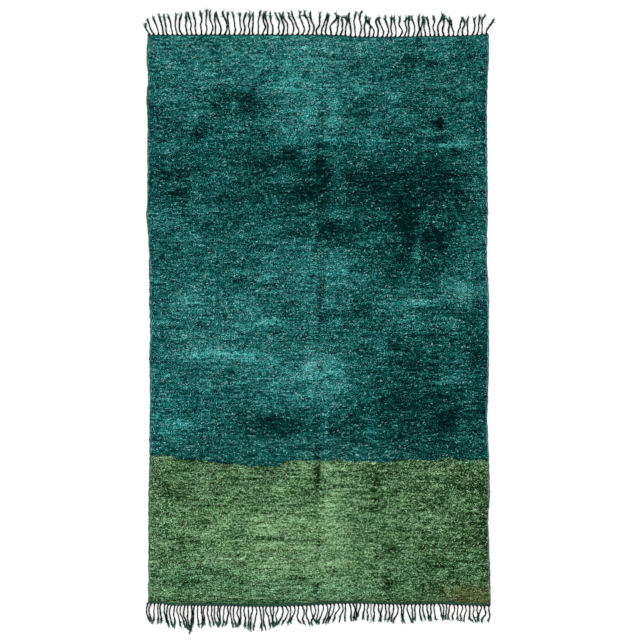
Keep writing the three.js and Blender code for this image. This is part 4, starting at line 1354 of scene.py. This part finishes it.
# The selvedges: the outer warps overcast with wool
selvedgePlan = {
    "width": 9.6,
    "height": 6.4,
    "wrapPitch": 5.0,
    "ringsPerWrap": 3,
    "sides": 6,
    "wrapDepth": 0.2,  # share of the radius between two wraps
    "wrapSlant": 1.6,  # mm by which a wrap runs forward across the edge
    "wrapStray": 1.2,
    "crook": 1.6,
    "swell": 0.2,
    "tone": (0.6, 0.2, 0.12),  # its middle, from wrap to wrap and over long stretches
    "greyFrom": -700.0,  # y below which the wool turns greyer
    "grey": {-1: 0.7, 1: 0.85},  # on the left and on the right
}


# An ellipse carried along the edge and drawn in between wraps: its radius is 1 - depth · (1 - ridge),
# with |sin| to the power 0.7 as the ridge
def makeSelvedge(plan, side):
    share = 0 if side < 0 else 1
    steps = int(rugPlan["length"] / plan["wrapPitch"] * plan["ringsPerWrap"])
    x, y = fieldPoint(np.full(steps, float(share)), np.linspace(0, 1, steps))

    def along(lump, seed):
        return cloud(y, 0 * y, lump, 1, seed)

    x = x + side * (rugPlan["gap"] + plan["width"] / 2) + plan["crook"] * along(17, 31 + share)
    path = np.stack([x, y, 0 * y + plan["height"] / 2], -1)[None]
    aside = np.broadcast_to(np.array([-1.0, 0, 0]), path.shape)
    upward = np.broadcast_to(np.array([0, 0, 1.0]), path.shape)
    turn = np.arange(plan["sides"]) * 2 * np.pi / plan["sides"] + math.pi / 6
    slant = y[:, None] + plan["wrapSlant"] * np.cos(turn) + plan["wrapStray"] * along(31, 33)[:, None]
    ridge = np.abs(np.sin(np.pi * slant / plan["wrapPitch"])) ** 0.7
    radius = 1 - plan["wrapDepth"] * (1 - ridge)
    radius = radius * (1 + plan["swell"] * along(9, 35 + share))[:, None]
    section = np.stack([
        radius * np.cos(turn) * plan["width"] / 2,
        radius * np.sin(turn) * plan["height"] / 2,
    ], -1)[None]
    middle, near, far = plan["tone"]
    tone = middle + near * along(9, 37 + share) + far * along(90, 39 + share)
    grey = np.clip((plan["greyFrom"] - y) / 100, 0, 1) * plan["grey"][side]
    return tubes(
        path, aside, upward, section, cutEvery=1, tone=tone[None], reach=np.ones((1, steps)),
        patch=grey[None],
    )


selvedgePieces = []
for name, side in (("overcast_edge_left", -1), ("overcast_edge_right", 1)):
    selvedgePieces.append(putPiece(name, [makeSelvedge(selvedgePlan, side)], edgeWool))

# The end bands, woven weft-faced
bandPlan = {
    "thickness": 4.6,
    "shoulder": (1.2, 4.4),  # mm from the side where the upper face starts to fall, and its height
    "sideTop": 3.2,
    "foot": (0.8, 0.6),  # mm by which the lower corners are cut off
    "ring": 1.7,  # mm between rings
    "ribPitch": 5.0,
    "ribDepth": 0.7,
    "widthStray": 0.05,
    "tone": (0.42, 0.14, 0.1),  # its middle, from rib to rib and over long stretches
}


# A rounded flat section carried across the rug, its upper side ribbed over the warps by |sin|
def makeBand(plan, end):
    edge = topEdge if end > 0 else bottomEdge
    width = rugPlan["topBand"] if end > 0 else rugPlan["bottomBand"]
    endY = np.array([end * rugPlan["length"] / 2])
    first, last = leftEdge(endY)[0], rightEdge(endY)[0]
    steps = int((last - first) / plan["ring"])
    x = np.linspace(first, last, steps)
    path = np.stack([x, edge(x) - end * width / 2, 0 * x], -1)[None]
    aside = np.broadcast_to(np.array([0, 1.0, 0]), path.shape)
    upward = np.broadcast_to(np.array([0, 0, 1.0]), path.shape)
    half = width / 2
    fall, shoulder = plan["shoulder"]
    cut, foot = plan["foot"]
    side, top = plan["sideTop"], plan["thickness"]
    outline = np.array([
        (-half, foot), (cut - half, 0), (half - cut, 0), (half, foot), (half, side),
        (half - fall, shoulder), (half / 3, top), (-half / 3, top), (fall - half, shoulder), (-half, side),
    ])
    rib = 1 - np.abs(np.sin(np.pi * x / plan["ribPitch"]))
    raised = outline[:, 1] > 1
    section = np.broadcast_to(outline, (steps, len(outline), 2)).copy()
    section[..., 1] -= plan["ribDepth"] * rib[:, None] * raised
    section[..., 0] *= 1 + plan["widthStray"] * cloud(x, 0 * x, 9, 1, 41)[:, None]
    middle, near, far = plan["tone"]
    tone = middle + near * cloud(x, 0 * x, 7, 1, 42 + end) + far * cloud(x, 0 * x, 80, 1, 45 + end)
    return tubes(
        path, aside, upward, section[None], cutEvery=1, tone=tone[None], reach=np.ones((1, steps)),
        patch=np.zeros((1, steps)),
    )


bandPieces = []
for name, end, wool in (("woven_band_top", 1, topBandWool), ("woven_band_bottom", -1, bottomBandWool)):
    bandPieces.append(putPiece(name, [makeBand(bandPlan, end)], wool))

# The fringes: warps gathered from the band into twisted strands with frayed ends. Strays and draws are
# shares of the pitch between two strands.
fringePlan = {
    "rings": 38,
    "sides": 6,
    "lobe": 0.15,  # how far the two plies stand out of the round
    "turns": 5.5,  # of the twist over turnsReach
    "turnsReach": 105.0,
    "lump": 0.22,  # share by which a strand's thickness strays along it
    "kink": 1.25,  # mm of its small crooks
    "tubeShare": 0.9,  # of the reach, the rest is frayed ends
    "rootDepth": 5.0,
    "rootStray": 0.065,
    "reachStray": 0.05,  # share of the reach
    "zigzag": 0.06,  # every other strand leans the other way
    "leanStray": 0.07,
    "swayStray": 0.06,
    "swayTurns": 0.85,
    "drawMost": 0.9,
    "thin": (0.55, 0.08),  # share of its radius at the root, and of its length where it is full
    "radiusRange": (0.86, 1.12),
    "flareFrom": (0.55, 0.3),  # share of the reach where the plies open, and over what share
    "toneStray": (0.06, 0.08),  # from strand to strand and along one
    "paleFrom": (0.6, 0.3),  # as flareFrom, for the tone of the tips
    "seed": 9,
}

# What differs between the top end and the bottom end
fringeEnds = {
    1: {
        "radius": 4.1,
        "flare": 0.3,  # how much the plies open towards the frayed end
        "bend": 0.33,  # share of the pitch by which a strand bends this way and that
        "leanSpread": 0.2,  # share of the pitch by which tips stray
        "groupChance": 0.5,  # chance that a new group of tips starts at a strand
        "gather": 0.4,  # how far a group's tips draw together
        "locks": 15,
        "lockStart": 0.68,  # share of the reach from which locks come loose
        "lockLength": (12.0, 28.0),
        "lockFan": 0.17,  # radians
        "lockWidth": 3.2,
        "yarns": 4,
        "yarnSpread": 0.43,  # share of the pitch
        "tone": 0.2,
        "tipTone": 0.56,
    },
    -1: {
        "radius": 3.6,
        "flare": 0.35,
        "bend": 0.34,
        "leanSpread": 0.26,
        "groupChance": 0.36,
        "gather": 0.55,
        "locks": 13,
        "lockStart": 0.66,
        "lockLength": (10.0, 22.0),
        "lockFan": 0.18,
        "lockWidth": 3.2,
        "yarns": 4,
        "yarnSpread": 0.46,
        "tone": 0.1,
        "tipTone": 0.64,
    },
}

# x, pitch, reach, lean of the tips, sway of the middles, in mm as in the CAD source
topFringe = [
    (-890, 24.0, 50, -22, 0), (-862, 24.0, 88, -26, -1), (-795, 25.5, 112, -30, -2),
    (-725, 25.5, 108, -20, -3), (-665, 24.5, 116, -14, 2), (-600, 24.5, 124, 3, 3),
    (-500, 25.0, 122, 2, 8), (-400, 25.0, 113, 12, 5), (-320, 25.0, 118, 18, 2),
    (-250, 26.0, 112, 8, 9), (-140, 26.5, 118, -14, 11), (-60, 26.5, 121, -4, 7),
    (25, 25.0, 116, 14, -4), (65, 25.0, 110, 20, -5), (125, 25.0, 96, 6, -2),
    (205, 24.5, 138, -1, 3), (260, 23.0, 100, 0, 4), (350, 23.5, 108, 0, 8),
    (450, 23.0, 106, 17, 6), (520, 23.0, 104, 9, 2), (570, 22.5, 98, 0, -2),
    (640, 25.0, 112, -3, -3), (700, 25.0, 94, 8, 2), (790, 25.0, 98, 17, 0),
    (850, 25.0, 108, 14, 0), (898, 25.0, 68, 40, -2),
]
bottomFringe = [
    (-897, 17.8, 98, -6, -6), (-840, 17.6, 110, 2, -5), (-780, 17.6, 124, -3, -4),
    (-730, 17.6, 118, 1, -4), (-683, 17.6, 146, -2, -4), (-650, 17.6, 118, -4, -3),
    (-560, 17.4, 106, 0, -2), (-430, 17.6, 112, 2, -3), (-340, 19.5, 128, -1, 3),
    (-270, 19.5, 122, 4, -2), (-210, 20.5, 104, 2, 2), (-130, 22.0, 98, 3, 6),
    (-40, 21.5, 106, -2, 3), (60, 20.5, 102, -4, 5), (150, 19.5, 92, -4, 2),
    (240, 19.0, 84, 0, 1), (300, 18.8, 92, 0, 0), (385, 19.8, 100, -3, 4),
    (470, 20.2, 94, 1, -3), (560, 20.0, 84, 5, -2), (700, 20.2, 84, -2, 2),
    (800, 20.4, 88, -2, 3), (865, 20.4, 80, 2, 2), (899, 20.4, 90, 20, 2),
]
# x, half width and strength of the bunches of pale, undyed warps
palePlaces = {1: [(255, 9, 1.0), (-805, 5, 0.6)], -1: [(285, 9, 1.0)]}


# Strand roots step along X by the table's pitch, each but the first moved a little
def strandRoots(plan, rows):
    places = []
    x = rows[0][0]
    while x <= rows[-1][0]:
        places.append(x)
        x += float(readTable(rows, 1, np.array([x]))[0])
    places = np.array(places, float)
    number = np.arange(len(places))
    pitch = readTable(rows, 1, places)
    return places + (number > 0) * pitch * plan["rootStray"] * jitter(number, "root")


# What one end's strands share: where they root, how far they reach, lean and sway, which tips gather
def layStrands(plan, kind, end, rows):
    rng = np.random.default_rng(plan["seed"] + end)
    edge = topEdge if end > 0 else bottomEdge
    rootX = strandRoots(plan, rows)
    count = len(rootX)
    number = np.arange(count)
    pitch, reach, lean, sway = [readTable(rows, column, rootX) for column in (1, 2, 3, 4)]
    reach = reach * (1 + plan["reachStray"] * jitter(number, "reach"))
    pull = np.where(number % 2 == 0, plan["zigzag"], -plan["zigzag"])
    pull = pull + plan["leanStray"] * jitter(number, "lean")
    lean = lean + pitch * pull + pitch * kind["leanSpread"] * rng.normal(0, 1, count)
    sway = sway + pitch * plan["swayStray"] * jitter(number, "sway")
    pale = np.zeros(count)
    for middle, half, strength in palePlaces[end]:
        pale = np.maximum(pale, strength * (np.abs(rootX - middle) < half))
    group = np.cumsum(rng.uniform(0, 1, count) < kind["groupChance"])
    tips = rootX + lean
    together = (np.bincount(group, tips) / np.maximum(np.bincount(group), 1))[group]
    most = plan["drawMost"] * pitch
    draw = np.clip(kind["gather"] * (together - tips), -most, most)
    return {
        "edge": edge, "x": rootX, "y": edge(rootX), "number": number, "pitch": pitch, "reach": reach,
        "lean": lean, "sway": sway, "draw": draw, "pale": pale,
    }


# A share that eases from 0 to 1 from a place on, over a width
def opening(share, start, width):
    return eased(np.clip((share - start) / width, 0, 1))


# A strand's middle line: x = root + lean · s(1 + s)/2 + sway · sin(swayTurns of s) + draw · s to the
# third + bends and kinks, y = edge outwards by s times its reach
def strandLine(plan, kind, end, strands, s):
    each = strands["number"][:, None]
    x = strands["x"][:, None] + strands["lean"][:, None] * s * (1 + s) / 2
    x = x + strands["sway"][:, None] * np.sin(2 * np.pi * plan["swayTurns"] * s)
    x = x + strands["draw"][:, None] * s ** 3
    bends = cloud(each * 17.0 + 0 * s, s * 3.2 + each * 3.7, 17, 1, 51)
    kinks = cloud(each * 17.0 + 0 * s, s * 10 + each * 5.3, 17, 1, 52)
    crooks = kind["bend"] * strands["pitch"][:, None] * bends + plan["kink"] * kinks
    x = x + opening(s, 0, 0.3) * crooks
    depth = plan["rootDepth"]
    y = strands["y"][:, None] + end * (s * (strands["reach"][:, None] + depth) - depth)
    return np.stack([x, y], -1)


# Sideways and upward axes of strips that lie flat: aside = up × ahead, upward = ahead × aside
def flatAxes(path):
    ahead = unit(np.gradient(path, axis=1))
    aside = unit(np.cross(np.broadcast_to(np.array([0, 0, 1.0]), ahead.shape), ahead))
    return aside, np.cross(ahead, aside)


# Two-ply strands: radius · (1 + lobe · cos 2(angle - twist)), with lumps and an opening ply
def makeStrands(plan, kind, end, strands, rng):
    count = len(strands["x"])
    each = strands["number"][:, None]
    share = np.linspace(0, plan["tubeShare"], plan["rings"])
    middle = strandLine(plan, kind, end, strands, share[None] + 0 * each)
    root, grown = plan["thin"]
    swell = kind["radius"] * (1 + kind["flare"] * opening(share, *plan["flareFrom"]))
    swell = swell * (root + (1 - root) * opening(share, 0, grown))
    swell = swell[None] * rng.uniform(*plan["radiusRange"], (count, 1))
    lumps = cloud(each * 17.0 + 0 * share, share * 15 + each * 7.1, 17, 1, 53)
    swell = swell * (1 + plan["lump"] * lumps * np.clip(share / 0.1, 0, 1))
    swell[:, -1] *= 0.6
    rest = np.maximum(swell * (1 + plan["lobe"]), (1 - share[None] / 0.06) * 2.2)  # height of its middle
    path = np.concatenate([middle, rest[..., None]], -1)
    ahead = unit(np.gradient(np.concatenate([middle, 0 * rest[..., None]], -1), axis=1))
    upward = np.broadcast_to(np.array([0, 0, 1.0]), path.shape)
    turn = np.arange(plan["sides"]) * 2 * np.pi / plan["sides"]
    turns = plan["turns"] * share[None] * (strands["reach"][:, None] / plan["turnsReach"])
    twist = 2 * np.pi * turns + each * 2.1
    lobes = 1 + plan["lobe"] * np.cos(2 * (turn[None, None] - twist[..., None]))
    section = swell[..., None, None] * lobes[..., None] * np.stack([np.cos(turn), np.sin(turn)], -1)
    fromStrand, along = plan["toneStray"]
    tone = kind["tone"] + fromStrand * rng.normal(0, 1, (count, 1)) + along * lumps
    tone = tone + (kind["tipTone"] - kind["tone"]) * opening(share[None], *plan["paleFrom"])
    pale = strands["pale"][:, None] * (0.6 + 0.4 * share[None])
    tube = tubes(
        path, np.cross(upward, ahead), upward, section, cutEvery=8, tone=tone,
        reach=np.ones_like(tone), patch=pale,
    )
    return tube, share, middle, ahead


frayPlan = {
    "start": 1.3,  # the higher, the nearer to the tip most locks come loose
    "paleLength": 0.5,  # how much longer the undyed bunches' locks are
    "curl": 0.34,  # share of a lock's length by which it hooks sideways
    "scatter": 1.6,
    "height": (1.6, 7.0),  # over the level of its tip
    "tipHeight": 1.3,
    "sizeRange": (0.7, 1.25),
    "toneStray": 0.17,
    "toneTip": 0.25,
}


# Frayed ends: tapering locks that come loose along a strand's last part and hook sideways
def makeFrays(plan, kind, strands, share, middle, ahead, rng):
    owner = np.repeat(strands["number"], kind["locks"])
    total = len(owner)
    loose = plan["tubeShare"] - kind["lockStart"]
    start = plan["tubeShare"] - loose * rng.uniform(0, 1, total) ** frayPlan["start"]
    at = np.clip(np.searchsorted(share, start), 1, len(share) - 1)
    forward = ahead[owner, at]
    fan = rng.normal(0, kind["lockFan"], total)
    cos, sin = np.cos(fan), np.sin(fan)
    heading = np.stack([
        forward[:, 0] * cos - forward[:, 1] * sin, forward[:, 0] * sin + forward[:, 1] * cos,
    ], -1)
    pale = strands["pale"][owner]
    length = rng.uniform(*kind["lockLength"], total) * (1 + frayPlan["paleLength"] * (pale > 0.5))
    curl = rng.normal(0, frayPlan["curl"], total) * length
    t = np.array([0, 0.35, 0.7, 1.0])
    sideways = np.stack([-heading[:, 1], heading[:, 0]], -1)
    run = (middle[owner, at] + rng.normal(0, frayPlan["scatter"], (total, 2)))[:, None]
    run = run + heading[:, None] * (length[:, None] * t)[..., None]
    run = run + sideways[:, None] * (curl[:, None] * t ** 2.2)[..., None]
    z = rng.uniform(*frayPlan["height"], total)[:, None] * (1 - t) ** 1.2 + frayPlan["tipHeight"]
    run = np.concatenate([run, z[..., None]], -1)
    aside, upward = flatAxes(run)
    corner = np.array([(-0.5, -0.35), (0.5, -0.35), (0, 0.65)])
    taper = np.array([[0.9, 1.15, 0.8]])
    size = kind["lockWidth"] * rng.uniform(*frayPlan["sizeRange"], (total, 1)) * taper
    section = corner[None, None] * size[..., None, None] * np.array([1.0, 0.8])
    tone = kind["tipTone"] + frayPlan["toneStray"] * rng.normal(0, 1, (total, 1))
    tone = tone + frayPlan["toneTip"] * t[None]
    return tubes(
        run[:, :3], aside[:, :3], upward[:, :3], section, tip=run[:, 3], tone=tone,
        reach=np.ones_like(tone), patch=np.broadcast_to(pale[:, None], tone.shape),
    )


gatherPlan = {
    "join": 12.0,  # mm from the root where the yarns have joined
    "inside": 2.5,  # mm that they start inside the band
    "run": 12.5,
    "height": 2.2,
    "arch": 1.3,
    "thick": 3.4,
    "scatter": 0.5,
    "toneStray": 0.08,
}


# Warps that come out of the band on a strand's own width and draw into it along an arc
def makeGathers(plan, kind, end, strands, share, middle, rng):
    many = kind["yarns"]
    count = len(strands["x"])
    owner = np.repeat(strands["number"], many)
    offset = np.tile(np.linspace(-1, 1, many), count) * kind["yarnSpread"] * strands["pitch"][owner]
    offset = offset + rng.normal(0, gatherPlan["scatter"], len(owner))
    t = np.array([0, 0.3, 0.65, 1.0])
    join = gatherPlan["join"] / (strands["reach"] + plan["rootDepth"])
    column = np.clip(np.searchsorted(share, join), 1, len(share) - 1)
    joinX = middle[strands["number"], column, 0] - strands["x"]
    x = strands["x"][owner][:, None] + offset[:, None] * (1 - t) ** 1.6 + joinX[owner][:, None] * t
    start = strands["edge"](strands["x"][owner] + offset)[:, None]
    y = start + end * (gatherPlan["run"] * t - gatherPlan["inside"])
    z = gatherPlan["height"] + gatherPlan["arch"] * np.sin(np.pi * t)[None] + 0 * x
    run = np.stack([x, y, z], -1)
    aside, upward = flatAxes(run)
    square = np.array([(-0.5, -0.5), (0.5, -0.5), (0.35, 0.5), (-0.35, 0.5)]) * gatherPlan["thick"]
    section = np.broadcast_to(square, (*run.shape[:2], 4, 2))
    tone = kind["tone"] + gatherPlan["toneStray"] * rng.normal(0, 1, (len(owner), 1)) + 0 * t[None]
    pale = np.broadcast_to(0.6 * strands["pale"][owner][:, None], tone.shape)
    return tubes(run, aside, upward, section, tone=tone, reach=np.ones_like(tone), patch=pale)


def makeFringe(plan, kind, end, rows):
    strands = layStrands(plan, kind, end, rows)
    rng = np.random.default_rng(plan["seed"] + 10 + end)
    tube, share, middle, ahead = makeStrands(plan, kind, end, strands, rng)
    frays = makeFrays(plan, kind, strands, share, middle, ahead, rng)
    return [tube, frays, makeGathers(plan, kind, end, strands, share, middle, rng)]


fringePieces = []
for name, end, rows in (("warp_fringe_top", 1, topFringe), ("warp_fringe_bottom", -1, bottomFringe)):
    fringePieces.append(putPiece(name, makeFringe(fringePlan, fringeEnds[end], end, rows), warpWool))

# The floor and the light
stagePlan = {
    "floorSize": 100.0,  # metres
    "floorLevel": -0.0005,
    "floorColour": (0.9, 0.9, 0.895, 1),
    "floorGlow": 0.13,  # lifts the floor to the photograph's white
    "floorRough": 0.9,
    "floorGloss": 0.1,
    "sky": 0.78,
    "key": 1.25,
    "keyAngle": 0.6,  # radians, so that its shadows are soft
    "keyFrom": (-0.2, 0.45, 1.0),
}


def makeStage(plan):
    half = plan["floorSize"] / 2
    mesh = bpy.data.meshes.new("floor")
    corners = [(x * half, y * half, plan["floorLevel"]) for x, y in ((-1, -1), (1, -1), (1, 1), (-1, 1))]
    mesh.from_pydata(corners, [], [(0, 1, 2, 3)])
    material, _, shader = newMaterial("floor_paint")
    shader["Base Color"].default_value = plan["floorColour"]
    shader["Roughness"].default_value = plan["floorRough"]
    shader["Specular IOR Level"].default_value = plan["floorGloss"]
    shader["Emission Color"].default_value = (1, 1, 1, 1)
    shader["Emission Strength"].default_value = plan["floorGlow"]
    mesh.materials.append(material)
    floor = addObject("floor", mesh)

    world = bpy.data.worlds.new("studio")
    world.use_nodes = True
    sky = world.node_tree.nodes["Background"].inputs
    sky["Color"].default_value = (1, 1, 1, 1)
    sky["Strength"].default_value = plan["sky"]
    bpy.context.scene.world = world
    key = bpy.data.lights.new("key", "SUN")
    key.energy = plan["key"]
    key.angle = plan["keyAngle"]
    aimX, aimY, aimZ = plan["keyFrom"]
    tilt = math.atan2(math.hypot(aimX, aimY), aimZ)
    addObject("key", key).rotation_euler = (tilt, 0, math.atan2(aimX, -aimY))


makeStage(stagePlan)
print("floor and light made")

# Each piece rides on the root, and the CAD model's nodes that it takes the place of are hidden
for piece in [ground, *pilePieces, *selvedgePieces, *bandPieces, *fringePieces]:
    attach(piece, "root")
for piece in [ground, *pilePieces]:
    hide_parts("pile_field")
for piece, node in zip(selvedgePieces, ("selvedge_left", "selvedge_right")):
    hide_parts(node)
for piece, node in zip(bandPieces, ("end_fringe_top", "end_fringe_bottom")):
    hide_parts(node)
for piece, node in zip(fringePieces, ("end_fringe_top", "end_fringe_bottom")):
    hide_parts(node)

bpy.context.view_layer.update()
